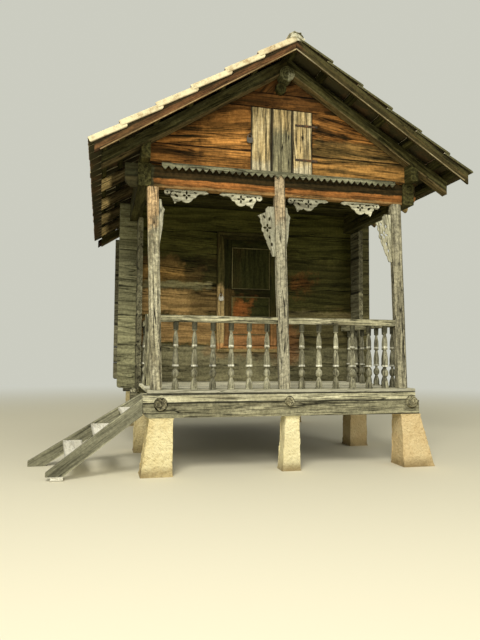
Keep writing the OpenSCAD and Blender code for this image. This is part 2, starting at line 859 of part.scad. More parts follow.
string_top = deck_z - string_drop;
front_string_y = -beam_y - string_proud;
rear_string_y = front_string_y + string_t + stair_w;
front_string_x = -beam_x;
rear_string_x = stair_edge_x;

// The upper edge of a stair string at a place
function string_edge(x, top_x, slope) = string_top - tan(slope) * (top_x - x);

// The outline of a stair string, cut plumb at its top and nose and level at its foot
module string_outline(top_x, slope, reach, foot_z) {
    drop = string_d / cos(slope);
    far_x = top_x - 2 * reach;
    far_z = string_edge(far_x, top_x, slope);
    intersection() {
        polygon([[top_x, string_top], [top_x, string_top - drop], [far_x, far_z - drop], [far_x, far_z]]);
        translate([top_x - reach, foot_z]) square([reach, string_top]);
    }
}

module stair_strings() color(grey_wood) {
    slab(front_string_y, front_string_y + string_t)
        string_outline(front_string_x, string_front_slope, front_string_reach, pad_h);
    slab(rear_string_y, rear_string_y + string_t)
        string_outline(rear_string_x, string_rear_slope, rear_string_reach, 0);
}

// Each tread turns and tips a little, because the front string has dropped
module stair_treads() color(grey_wood) intersection() {
    y0 = front_string_y + string_t;
    for (i = [0 : treads - 1]) {
        rear_x = stair_edge_x - tread_start - i * tread_run;
        rear_z = string_edge(rear_x, rear_string_x, string_rear_slope);
        near_x = rear_x + tread_skew + tread_skew_step * i;
        near_z = string_edge(near_x, front_string_x, string_front_slope);
        translate([near_x, y0, near_z])
            rotate([atan((rear_z - near_z) / stair_w), 0, atan((near_x - rear_x) / stair_w)])
                translate([0, -stair_w / 8, -tread_t]) cube([tread_d, stair_w * 5 / 4, tread_t]);
    }
    block([stair_edge_x - 2 * rear_string_reach, y0, 0], [0, rear_string_y, deck_z]);
}

module stair_pad() color(stone) {
    pad_x = front_string_x - front_string_reach + pad_in;
    block([pad_x, front_string_y - pad_over[0], 0],
        [pad_x + pad_w, front_string_y + string_t + pad_over[1], pad_h]);
}

// The cross beam over the posts: its foot steps forward and its lower corners are rounded
module front_lintel() color(red_wood) {
    left_x = roof_x - plate_x - lintel_left_reach;
    right_x = roof_x + plate_x + lintel_right_reach;
    step_z = plate_z + lintel_step_h;
    difference() {
        bar(left_x, right_x) polygon([
            [lintel_y, plate_z], [lintel_y + lintel_d, plate_z], [lintel_y + lintel_d, plate_top_z],
            [lintel_y + lintel_step, plate_top_z], [lintel_y + lintel_step, step_z], [lintel_y, step_z]]);
        slab(lintel_y - 1, lintel_y + lintel_d + 1) {
            translate([left_x, plate_z]) worn_corner(lintel_end_r);
            translate([right_x, plate_z]) mirror([1, 0]) worn_corner(lintel_end_r);
        }
        plate_passes(lintel_y, lintel_d);
    }
}

// The waste in the upper half of a side plate where a cross member lies in it
module cross_pass(x, y, depth) {
    block([x - plate_t, y - notch_play, plate_half_z],
        [x + plate_t, y + depth + notch_play, plate_top_z + 1]);
}

module side_plates() color(dark_wood) for (side = [-1, 1]) difference() {
    x = roof_x + side * plate_line_x;
    block([x - plate_t / 2, gable_y, plate_z], [x + plate_t / 2, rear_rafter_y, plate_top_z]);
    cross_pass(x, lintel_y, lintel_d);
    for (y = [front_y, rear_y]) cross_pass(x, y, wall_t);
    for (y = joist_ys) cross_pass(x, y - joist_w / 2, joist_w);
}

module loft_joists() color(dark_wood) for (y = joist_ys)
    block([roof_x - plate_x, y - joist_w / 2, plate_half_z],
        [roof_x + plate_x, y + joist_w / 2, plate_top_z]);

// Underside of the rafters at a distance from the ridge line
function rafter_z(x) = rafter_foot_z - tilt * x;

module upper_plates() color(brown_wood) translate([roof_x, 0, 0]) {
    x0 = upper_plate_in_x;
    x1 = x0 + upper_plate_t;
    reach = rafter_t + upper_plate_reach;
    for (side = [0, 1]) mirror([side, 0, 0]) slab(gable_y - reach, rear_rafter_y + reach)
        polygon([[x0, plate_top_z], [x1, plate_top_z], [x1, rafter_z(x1)], [x0, rafter_z(x0)]]);
}

module loft_floor() color(dark_wood) {
    x = upper_plate_in_x - floor_play;
    block([roof_x - x, gable_y + gable_t + floor_play, plate_top_z],
        [roof_x + x, rear_gable_y - floor_play, plate_top_z + loft_floor_t]);
}

gable_levels = [0, gable_plank_heights[0], gable_plank_heights[0] + gable_plank_heights[1], hatch_h,
    hatch_h + gable_plank_heights[2], roof_rise + gable_in_rafters / slant];
ridge_z = rafter_foot_z - ridge_log_drop;
corbel_z = ridge_z - sqrt(pow(ridge_log_r + corbel_log_r + log_gap, 2) - pow(corbel_left, 2));

// The gable fills the space between the upper plates and rises between the rafters
module gable_outline() {
    x = upper_plate_in_x;
    top = gable_in_rafters / slant;
    polygon([[-x, plate_top_z], [x, plate_top_z], [x, rafter_z(x) + top], [0, rafter_foot_z + top],
        [-x, rafter_z(x) + top]]);
}

// The ridge log and the corbel log pass through the gable at y
module ridge_holes(y) {
    log_y(0, ridge_z, ridge_log_r + log_play, y - 1, y + gable_t + 1);
    log_y(-corbel_left, corbel_z, corbel_log_r + log_play, y - 1, y + gable_t + 1);
}

// One gable of level planks; the hatch opening is cut through the front one only
module gable(y, open) translate([roof_x, 0, 0]) {
    for (n = [0 : len(gable_levels) - 2]) difference() {
        slab(y, y + gable_t) intersection() {
            gable_outline();
            translate([-beam_x, plate_top_z + gable_levels[n]])
                square([deck_w, gable_levels[n + 1] - gable_levels[n] - seam]);
        }
        if (open) block([-hatch_left - hatch_w / 2, y - 1, plate_top_z - 1],
            [-hatch_left + hatch_w / 2, y + gable_t + 1, plate_top_z + hatch_h]);
        ridge_holes(y);
    }
}

module front_gable() color(red_wood) gable(gable_y, true);
module rear_gable() color(red_wood) gable(rear_gable_y, false);

// Three upright boards close the hatch
module loft_hatch() color(grey_wood) {
    crack = 4;
    edge = 0.3;
    x0 = roof_x - hatch_left - hatch_w / 2;
    board_w = (hatch_w - 2 * crack) / 3;
    for (i = [0 : 2])
        block([x0 + i * (board_w + crack) + edge, gable_y + edge, plate_top_z + edge],
            [x0 + i * (board_w + crack) + board_w - edge, gable_y + hatch_t, plate_top_z + hatch_h - edge]);
}

module sawtooth_board() color(grey_wood) {
    teeth = floor(saw_board_w / tooth_pitch);
    step = saw_board_w / teeth;
    x0 = roof_x - saw_board_w / 2;
    top = plate_top_z + saw_board_up;
    tip = top - saw_board_h;
    slab(gable_y - saw_board_t, gable_y) polygon(concat(
        [[x0 + saw_board_w, top], [x0, top], [x0, tip + tooth_d]],
        [for (i = [0 : teeth - 1], k = [0, 1]) [x0 + step * (i + 0.5 + k / 2), tip + tooth_d * k]]));
}

// A pointed petal along X, as the overlap of two circles
module petal(l, w) {
    r = (l * l + w * w) / (4 * w);
    intersection() {
        translate([0, r - w / 2]) circle(r);
        translate([0, w / 2 - r]) circle(r);
    }
}

// Four petals round a middle
module flower(l, w) {
    for (turn = [0 : 90 : 270]) rotate(turn) translate([l * 0.62, 0]) petal(l, w);
}

// A bracket that hangs under a beam: its thick end is at 0 and its tail points along X
module beam_fret() {
    l = beam_fret_l;
    h = beam_fret_h;
    difference() {
        intersection() {
            union() {
                translate([-0.085 * l, -0.22 * h]) circle(0.21 * h);
                translate([-0.08 * l, -0.13 * h]) square([0.7 * l, 0.13 * h]);
                translate([0.09 * l, -0.40 * h]) circle(0.23 * h);
                translate([0.20 * l, -0.52 * h]) circle(0.30 * h);
                translate([0.42 * l, -0.42 * h]) circle(0.46 * h);
                polygon([[0.03 * l, -0.5 * h], [0.11 * l, -h], [0.17 * l, -0.84 * h], [0.3 * l, -0.7 * h]]);
                polygon([[0.5 * l, 0], [0.93 * l, 0], [l, -0.15 * h], [0.9 * l, -0.25 * h],
                    [0.55 * l, -0.62 * h]]);
            }
            translate([-l / 2, -h]) square([2 * l, h]);
        }
        translate([0.81 * l, -0.62 * h]) circle(0.40 * h);
        translate([0.42 * l, -0.38 * h]) flower(0.26 * h, 0.15 * h);
        translate([0.15 * l, -0.43 * h]) rotate(-35) petal(0.34 * h, 0.17 * h);
        translate([0.65 * l, -0.17 * h]) rotate(-12) petal(0.26 * h, 0.1 * h);
        translate([-0.085 * l, -0.22 * h]) circle(0.06 * h);
    }
}

// A bracket that hangs beside a post: X points away from the post
module post_fret(w) {
    l = post_fret_l;
    wide = w > post_fret_w / 2;
    difference() {
        union() {
            polygon([[-post_w / 2, 0], [0.4 * w, 0], [0.55 * w, -0.12 * l], [w, -0.19 * l],
                [0.8 * w, -0.27 * l], [0.66 * w, -0.55 * l], [0.36 * w, -0.8 * l], [0.1 * w, -l],
                [-post_w / 2, -l]]);
            for (lobe = [[0.36, 0.07, 0.17], [0.62, 0.30, 0.23], [0.52, 0.46, 0.24], [0.36, 0.62, 0.20],
                [0.22, 0.78, 0.16]])
                translate([lobe[0] * w, -lobe[1] * l]) circle(lobe[2] * w);
        }
        for (bite = [[0.93, 0.38, 0.15], [0.76, 0.55, 0.13], [0.56, 0.70, 0.11], [0.30, 0.90, 0.10]])
            translate([bite[0] * w, -bite[1] * l]) circle(bite[2] * w);
        if (wide) {
            translate([0.42 * w, -0.43 * l]) flower(0.23 * w, 0.13 * w);
            for (drop = [[0.62, 0.21, 60], [0.3, 0.25, 100], [0.28, 0.62, 80], [0.14, 0.76, 84]])
                translate([drop[0] * w, -drop[1] * l]) rotate(drop[2]) petal(0.26 * w, 0.12 * w);
        }
    }
}

// Each bracket under the beam: its place beyond the post, and the way that it points
module lintel_brackets() color(pale_wood) {
    face_z = plate_z - log_gap;
    for (fret = [[post_left_x, 1, fret_gaps[0]], [post_middle_x, -1, fret_gaps[1]],
        [post_middle_x, 1, fret_gaps[2]], [post_right_x, -1, fret_gaps[3]]]) {
        x = post_at(fret[0], post_h) + fret[1] * (post_w / 2 + fret[2]);
        translate([x, 0, face_z]) mirror([fret[1] < 0 ? 1 : 0, 0, 0])
            slab(post_y - fret_t / 2, post_y + fret_t / 2) beam_fret();
    }
}

module post_brackets() color(pale_wood) {
    top = plate_z - post_fret_drop;
    for (fret = [[post_left_x, 1, narrow_fret_w], [post_middle_x, -1, post_fret_w],
        [post_middle_x, 1, narrow_fret_w], [post_right_x, -1, post_fret_w]]) difference() {
        x = post_at(fret[0], top - floor_z);
        translate([x, 0, top]) mirror([fret[1] < 0 ? 1 : 0, 0, 0]) translate([post_w / 2, 0, 0])
            slab(post_y - fret_t / 2, post_y + fret_t / 2) difference() {
                post_fret(fret[2]);
                translate([-post_w, -2 * post_fret_l]) square([post_w - post_edge, 4 * post_fret_l]);
            }
        porch_posts();
    }
}

// Two straps that hold the hatch's right board and reach over the gable
module hatch_straps() color(iron) {
    right_x = roof_x - hatch_left + hatch_w / 2;
    for (share = [0.22, 0.76]) {
        z = plate_top_z + share * hatch_h;
        block([right_x + hatch_strap_over - hatch_strap_l, gable_y - hatch_strap_t, z],
            [right_x + hatch_strap_over, gable_y, z + hatch_strap_h]);
    }
}

// A staple that stands out of a face at y, drawn as a bow in Y and Z
module staple(x, y, z) {
    translate([x, y - staple_neck, z]) rotate([0, -90, 180]) rotate_extrude(angle = 180)
        translate([staple_r, 0]) circle(bow_bar_r);
    for (side = [-1, 1]) translate([x, y, z + side * staple_r]) rotate([90, 0, 0])
        cylinder(r = bow_bar_r, h = staple_neck);
}

// A padlock whose bow hangs in a staple
module padlock(x, y, z) {
    bow_r = lock_w / 2 - 2.5 * bow_bar_r;
    bow_z = z - staple_r + 2 * bow_bar_r + log_gap - bow_r;
    bow_y = y - lock_t / 2 - bow_bar_r;
    translate([x, bow_y, bow_z]) {
        rotate([90, 0, 0]) rotate_extrude(angle = 180) translate([bow_r, 0]) circle(bow_bar_r);
        for (side = [-1, 1]) translate([side * bow_r, 0, -lock_neck]) cylinder(r = bow_bar_r, h = lock_neck);
        translate([0, lock_t / 2, -lock_neck]) rotate([90, 0, 0]) linear_extrude(lock_t) lock_outline();
    }
}

// A padlock body with rounded lower corners, below its bow
module lock_outline() {
    r = lock_w / 3;
    translate([-lock_w / 2, r - lock_h]) square([lock_w, lock_h - r]);
    translate([r - lock_w / 2, -lock_h]) square([lock_w - 2 * r, r]);
    for (side = [-1, 1]) translate([side * (lock_w / 2 - r), r - lock_h]) circle(r);
}

// The two staples, as [x, y, z]: one on the door frame, one on the gable beside the hatch
staples = [
    [door_x - door_w / 2 - jamb_w / 2, frame_y, clear_z0 + door_staple_h],
    [roof_x - hatch_left - hatch_w / 2 - staple_r, gable_y, plate_top_z + hatch_staple_h]
];

module lock_staples() color(iron) for (at = staples) staple(at[0], at[1], at[2]);
module padlocks() color(steel) for (at = staples) padlock(at[0], at[1], at[2]);

module ridge_log() color(grey_wood)
    log_y(roof_x, ridge_z, ridge_log_r, gable_y - ridge_log_reach, rear_rafter_y + ridge_log_reach);

module corbel_logs() color(dark_wood) {
    x = roof_x - corbel_left;
    log_y(x, corbel_z, corbel_log_r, gable_y - corbel_reach, gable_y + gable_t + corbel_tail);
    log_y(x, corbel_z, corbel_log_r, rear_gable_y - corbel_tail, rear_rafter_y + corbel_reach);
}

// A band of a roof slope: bounds are distances from the rafters' underside and from the ridge
module slope_band(low, high, x0, x1) {
    polygon([[x0, rafter_z(x0) + low / slant], [x1, rafter_z(x1) + low / slant],
        [x1, rafter_z(x1) + high / slant], [x0, rafter_z(x0) + high / slant]]);
}

// The rafters meet over the ridge log and are cut out round it
module ridge_log_bed() {
    log_y(0, ridge_z, ridge_log_r + log_gap, verge_y0, verge_y1);
}

module gable_rafters() color(dark_wood) translate([roof_x, 0, 0])
    for (y = [gable_y - rafter_t, rear_rafter_y], side = [0, 1]) mirror([side, 0, 0]) difference() {
        slab(y, y + rafter_t) slope_band(0, rafter_d, seam / 2, rafter_reach);
        ridge_log_bed();
    }

module round_rafters() color(grey_wood) translate([roof_x, 0, 0]) {
    r = rafter_d / 2;
    length = rafter_reach / slant;
    for (y = places(gable_y - rafter_t / 2, rear_rafter_y + rafter_t / 2, pole_rafters), side = [0, 1])
        mirror([side, 0, 0]) difference() {
            intersection() {
                translate([0, y, rafter_foot_z + r / slant]) rotate([0, 90 + roof_slope, 0])
                    translate([0, 0, -length / 8]) cylinder(r = r, h = length * 5 / 4);
                block([seam / 2, y - r - 1, 0], [rafter_reach, y + r + 1, 2 * rafter_foot_z]);
            }
            ridge_log_bed();
        }
}

// Depth of the underside of the lowest course above the other battens' tops at the eaves
function eave_rise(x) =
    tan(tile_tip) * (x / slant - (tile_courses - 1) * course_run) / (1 + tan(tile_tip) * tilt);

// A batten under the head of each course, and a thicker one under the lowest course's foot
module tile_battens() color(dark_wood) translate([roof_x, 0, 0]) {
    low = rafter_d + seam / 2;
    high = rafter_d + batten_d;
    eave_x = rafter_reach - batten_w;
    for (side = [0, 1]) mirror([side, 0, 0]) slab(verge_y0 + verge_board_t, verge_y1 - verge_board_t) {
        for (n = [0 : tile_courses - 1]) {
            x = n * course_run * slant;
            slope_band(low, high, max(x, seam / 2), x + batten_w);
        }
        polygon([for (corner = [[eave_x, low, 0], [rafter_reach, low, 0],
            [rafter_reach, high, eave_rise(rafter_reach)], [eave_x, high, eave_rise(eave_x)]])
            [corner[0], rafter_z(corner[0]) + (corner[1] + corner[2]) / slant]]);
    }
}

module verge_boards() color(red_wood) translate([roof_x, 0, 0])
    for (y = [verge_y0, verge_y1 - verge_board_t], side = [0, 1]) mirror([side, 0, 0])
        slab(y, y + verge_board_t)
            slope_band(rafter_d + batten_d - verge_board_d, rafter_d + batten_d, seam / 2,
                tile_reach - verge_board_short);

// One course of tiles, tipped so that it lies on the course below it
module tile_course(n) {
    tip = tan(tile_tip);
    length = n < tile_courses - 1 ? course_run + tile_lap : course_run;
    translate([0, tile_bed_z]) rotate(-roof_slope) translate([n * course_run, 0])
        polygon([[0, 0], [length, tip * length], [length, tip * length + tile_t - seam],
            [0, tile_t - seam]]);
}

module tile_slope(side) color(clay) translate([roof_x, 0, 0]) mirror([side, 0, 0])
    for (n = [0 : tile_courses - 1]) intersection() {
        slab(verge_y0 - tile_over, verge_y1 + tile_over) tile_course(n);
        block([seam, verge_y0 - 2 * tile_over, 0],
            [tile_reach + verge, verge_y1 + 2 * tile_over, 2 * rafter_foot_z]);
    }

module left_tiles() tile_slope(1);
module right_tiles() tile_slope(0);

// Half-round ridge tiles saddle the top courses
module ridge_tiles() color(clay) {
    slope = roof_slope - tile_tip;
    top_z = tile_bed_z + tile_t * (slant + sin(roof_slope) * tan(slope));
    far = 3 * ridge_tile_r;
    slab(verge_y0 - tile_over, verge_y1 + tile_over) translate([roof_x, top_z]) difference() {
        translate([0, -ridge_tile_r / 2]) difference() {
            circle(ridge_tile_r);
            circle(ridge_tile_r - ridge_tile_t);
        }
        polygon([[0, 0], [far, -tan(slope) * far], [far, -far], [-far, -far], [-far, -tan(slope) * far]]);
    }
}

stone_piers();
bearing_beams();
sill_beams();
sleeper_logs();
porch_floor();
floor_bearers();
room_floor();
left_wall();
right_wall();
rear_wall();
front_wall_low();
front_wall_left();
front_wall_right();
front_wall_head();
door_jambs();
door_head_and_sill();
door_leaf();
door_straps();
door_pintles();
porch_posts();
handrails();
balusters();
newel();
stair_strings();
stair_treads();
stair_pad();
front_lintel();
side_plates();
upper_plates();
loft_joists();
loft_floor();
front_gable();
rear_gable();
loft_hatch();
sawtooth_board();
ridge_log();
corbel_logs();
gable_rafters();
round_rafters();
tile_battens();
verge_boards();
left_tiles();
right_tiles();
ridge_tiles();
lintel_brackets();
post_brackets();
hatch_straps();
lock_staples();
padlocks();
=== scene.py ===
# Looks of a raised timber granary on stone piers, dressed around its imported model.
# X runs along the front, Y from the porch to the rear wall, Z up, in metres.

import math
import random

import bmesh
import bpy
import numpy as np
from mathutils import Matrix, Vector, noise


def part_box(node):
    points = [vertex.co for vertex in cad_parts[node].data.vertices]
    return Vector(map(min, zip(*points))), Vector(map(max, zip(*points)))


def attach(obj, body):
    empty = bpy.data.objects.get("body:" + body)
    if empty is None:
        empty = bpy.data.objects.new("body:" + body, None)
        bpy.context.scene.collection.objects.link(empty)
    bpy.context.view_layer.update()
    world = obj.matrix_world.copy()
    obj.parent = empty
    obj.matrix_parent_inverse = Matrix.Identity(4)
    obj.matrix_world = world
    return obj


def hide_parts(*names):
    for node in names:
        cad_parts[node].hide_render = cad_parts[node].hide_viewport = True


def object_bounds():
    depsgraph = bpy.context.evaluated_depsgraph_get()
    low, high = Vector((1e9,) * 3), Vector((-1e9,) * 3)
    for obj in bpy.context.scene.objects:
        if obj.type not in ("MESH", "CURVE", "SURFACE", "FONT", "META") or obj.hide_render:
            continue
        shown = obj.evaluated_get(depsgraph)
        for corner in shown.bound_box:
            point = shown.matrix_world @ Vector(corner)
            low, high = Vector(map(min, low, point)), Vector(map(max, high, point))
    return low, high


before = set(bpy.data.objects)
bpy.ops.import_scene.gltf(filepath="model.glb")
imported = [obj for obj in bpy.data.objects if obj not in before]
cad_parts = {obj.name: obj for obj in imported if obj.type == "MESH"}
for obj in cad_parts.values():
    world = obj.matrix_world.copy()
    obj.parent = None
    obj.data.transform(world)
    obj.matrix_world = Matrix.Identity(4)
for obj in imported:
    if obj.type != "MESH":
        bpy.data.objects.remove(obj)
cad_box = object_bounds()
scene = bpy.context.scene

# The camera, fitted to the photograph
CAMERA_PLACE = Vector((-2.148, -6.630, 1.373))
CAMERA_YAW = math.radians(13.387)
CAMERA_PITCH = math.radians(3.290)
CAMERA_ROLL = math.radians(0.433)
PICTURE_HEIGHT_PX = 640
FOCAL_PX = 577.5
SENSOR_MM = 36

# Working steps of the faces of timbers (along the grain, then across it) and of stones
TIMBER_STEPS = (0.07, 0.06, 0.06)
LOG_STEPS = (0.05, 0.02, 0.02)
STONE_STEPS = (0.016, 0.016, 0.016)
WELD = 1e-5
AXES = (Vector((1, 0, 0)), Vector((0, 1, 0)), Vector((0, 0, 1)))
FLAT_ANGLE = math.radians(1)
SHARP_ANGLE = math.radians(28)
RIM_REACH = 0.04


def make_camera():
    """The camera of the photograph, turned by its yaw, pitch and roll."""
    data = bpy.data.cameras.new("camera")
    data.sensor_fit = "VERTICAL"
    data.sensor_height = data.sensor_width = SENSOR_MM
    data.lens = FOCAL_PX / PICTURE_HEIGHT_PX * SENSOR_MM
    data.clip_end = 200
    camera = bpy.data.objects.new("camera", data)
    camera.matrix_world = Matrix.Translation(CAMERA_PLACE)
    for angle, axis in ((-CAMERA_YAW, "Z"), (math.pi / 2 + CAMERA_PITCH, "X"), (CAMERA_ROLL, "Z")):
        camera.matrix_world @= Matrix.Rotation(angle, 4, axis)
    scene.collection.objects.link(camera)
    scene.camera = camera


def area_lamp(name, place, size, power, colour, target=(0, 1.0, 2.0)):
    """A soft lamp that looks at a target."""
    data = bpy.data.lights.new(name, "AREA")
    data.shape = "DISK"
    data.size = size
    data.energy = power
    data.color = colour
    lamp = bpy.data.objects.new(name, data)
    lamp.location = place
    lamp.rotation_euler = (Vector(target) - Vector(place)).to_track_quat("-Z", "Y").to_euler()
    scene.collection.objects.link(lamp)


def dimmed(colour, share):
    """A colour at a share of its brightness."""
    return tuple(share * part for part in colour)


class Nodes:
    """Adds and joins the nodes of a material or world, whose colour is laid on coat by coat."""

    def __init__(self, name, kind=bpy.data.materials):
        self.owner = kind.new(name)
        self.owner.use_nodes = True
        self.tree = self.owner.node_tree
        nodes = self.tree.nodes
        self.shader = nodes.get("Principled BSDF") or nodes["Background"]
        self.output = nodes.get("Material Output") or nodes["World Output"]
        self.colour = None

    def feed(self, node, inputs):
        """Joins inputs of a node, given by name or number, to sockets, or sets them to plain values."""
        for key, value in inputs.items():
            socket = node.inputs[key]
            if isinstance(value, bpy.types.NodeSocket):
                self.tree.links.new(value, socket)
            else:
                socket.default_value = (*value, 1) if socket.type == "RGBA" else value

    def add(self, kind, inputs=None, **settings):
        node = self.tree.nodes.new("ShaderNode" + kind)
        for key, value in settings.items():
            setattr(node, key, value)
        self.feed(node, inputs or {})
        return node

    def math(self, operation, a, b=0.0):
        return self.add("Math", {0: a, 1: b}, operation=operation).outputs[0]

    def times(self, a, b):
        return self.math("MULTIPLY", a, b)

    def plus(self, a, b):
        return self.math("ADD", a, b)

    def minus(self, a, b):
        return self.math("SUBTRACT", a, b)

    def total(self, *terms):
        """The sum of values times their weights."""
        total, *rest = [self.times(value, weight) for value, weight in terms]
        for term in rest:
            total = self.plus(total, term)
        return total

    def spread(self, *numbers):
        """A value, stretched from a low and a high to others (0 and 1 by default) and held there."""
        inputs = dict(enumerate(numbers))
        return self.add("MapRange", inputs, interpolation_type="SMOOTHSTEP").outputs[0]

    def between(self, value, low, high, soft):
        """1 where the value lies between two bounds, with soft ends."""
        return self.times(self.spread(value, low - soft, low + soft),
                          self.spread(value, high - soft, high + soft, 1, 0))

    def scaled(self, vector, scale, shift=(0, 0, 0)):
        return self.add("Mapping", {"Vector": vector, "Scale": scale, "Location": shift}).outputs[0]

    def noise(self, vector, scale, detail=3, rough=0.55, distort=0):
        inputs = {"Vector": vector, "Scale": scale, "Detail": detail, "Roughness": rough,
                  "Distortion": distort}
        return self.add("TexNoise", inputs).outputs["Fac"]

    def cells(self, vector, scale):
        return self.add("TexVoronoi", {"Vector": vector, "Scale": scale}).outputs["Distance"]

    def mix(self, share, a, b, blend="MIX"):
        # A mix node has its two colours at 6 and 7, and its mixed colour at 2
        inputs = {"Factor": share, 6: a, 7: b}
        return self.add("Mix", inputs, data_type="RGBA", blend_type=blend).outputs[2]

    def coat(self, share, tint):
        """Lays a tint over the colour so far."""
        self.colour = self.mix(share, self.colour, tint)

    def stain(self, value, low, high, share, tint):
        """Lays on a tint, up to a share, as a value goes from low to high."""
        self.coat(self.spread(value, low, high, 0, share), tint)

    def shade(self, value):
        """Multiplies the colour so far by a brightness."""
        self.colour = self.mix(1, self.colour, self.grey(value), "MULTIPLY")

    def grey(self, value):
        """A colour with the same value in its three parts."""
        return self.add("CombineColor", dict.fromkeys(range(3), value)).outputs[0]

    def attribute(self, name, output="Vector"):
        return self.add("Attribute", attribute_name=name).outputs[output]

    def parts(self, vector):
        """The three parts of a vector."""
        return self.add("SeparateXYZ", {0: vector}).outputs

    def place(self):
        """The place on the model, in metres, and its three parts."""
        where = self.add("TexCoord").outputs["Object"]
        return where, self.parts(where)

    def finish(self, roughness, height, depth, gloss=0.5, metal=0):
        """Joins colour, roughness and relief to the shader."""
        bump = self.add("Bump", {"Strength": 1, "Distance": depth, "Height": height})
        self.feed(self.shader, {"Base Color": self.colour, "Roughness": roughness,
                                "Normal": bump.outputs[0], "Specular IOR Level": gloss,
                                "Metallic": metal})
        return self.owner

    def show_mix(self, share, first, second):
        """Shows a mix of two shaders."""
        mixed = self.add("MixShader", {0: share, 1: first.outputs[0], 2: second.outputs[0]})
        self.feed(self.output, {"Surface": mixed.outputs[0]})


AXIS_NAMES = ("x", "y", "z", "along", "across", "up")


def zone(tint, share, soft, **bounds):
    """A place on the wood with a tint of its own, how strong it is, and how far its edges fade.
    Bounds are the model's x, y and z, or run along a piece, across it and up, from its middle."""
    return tint, share, soft, bounds


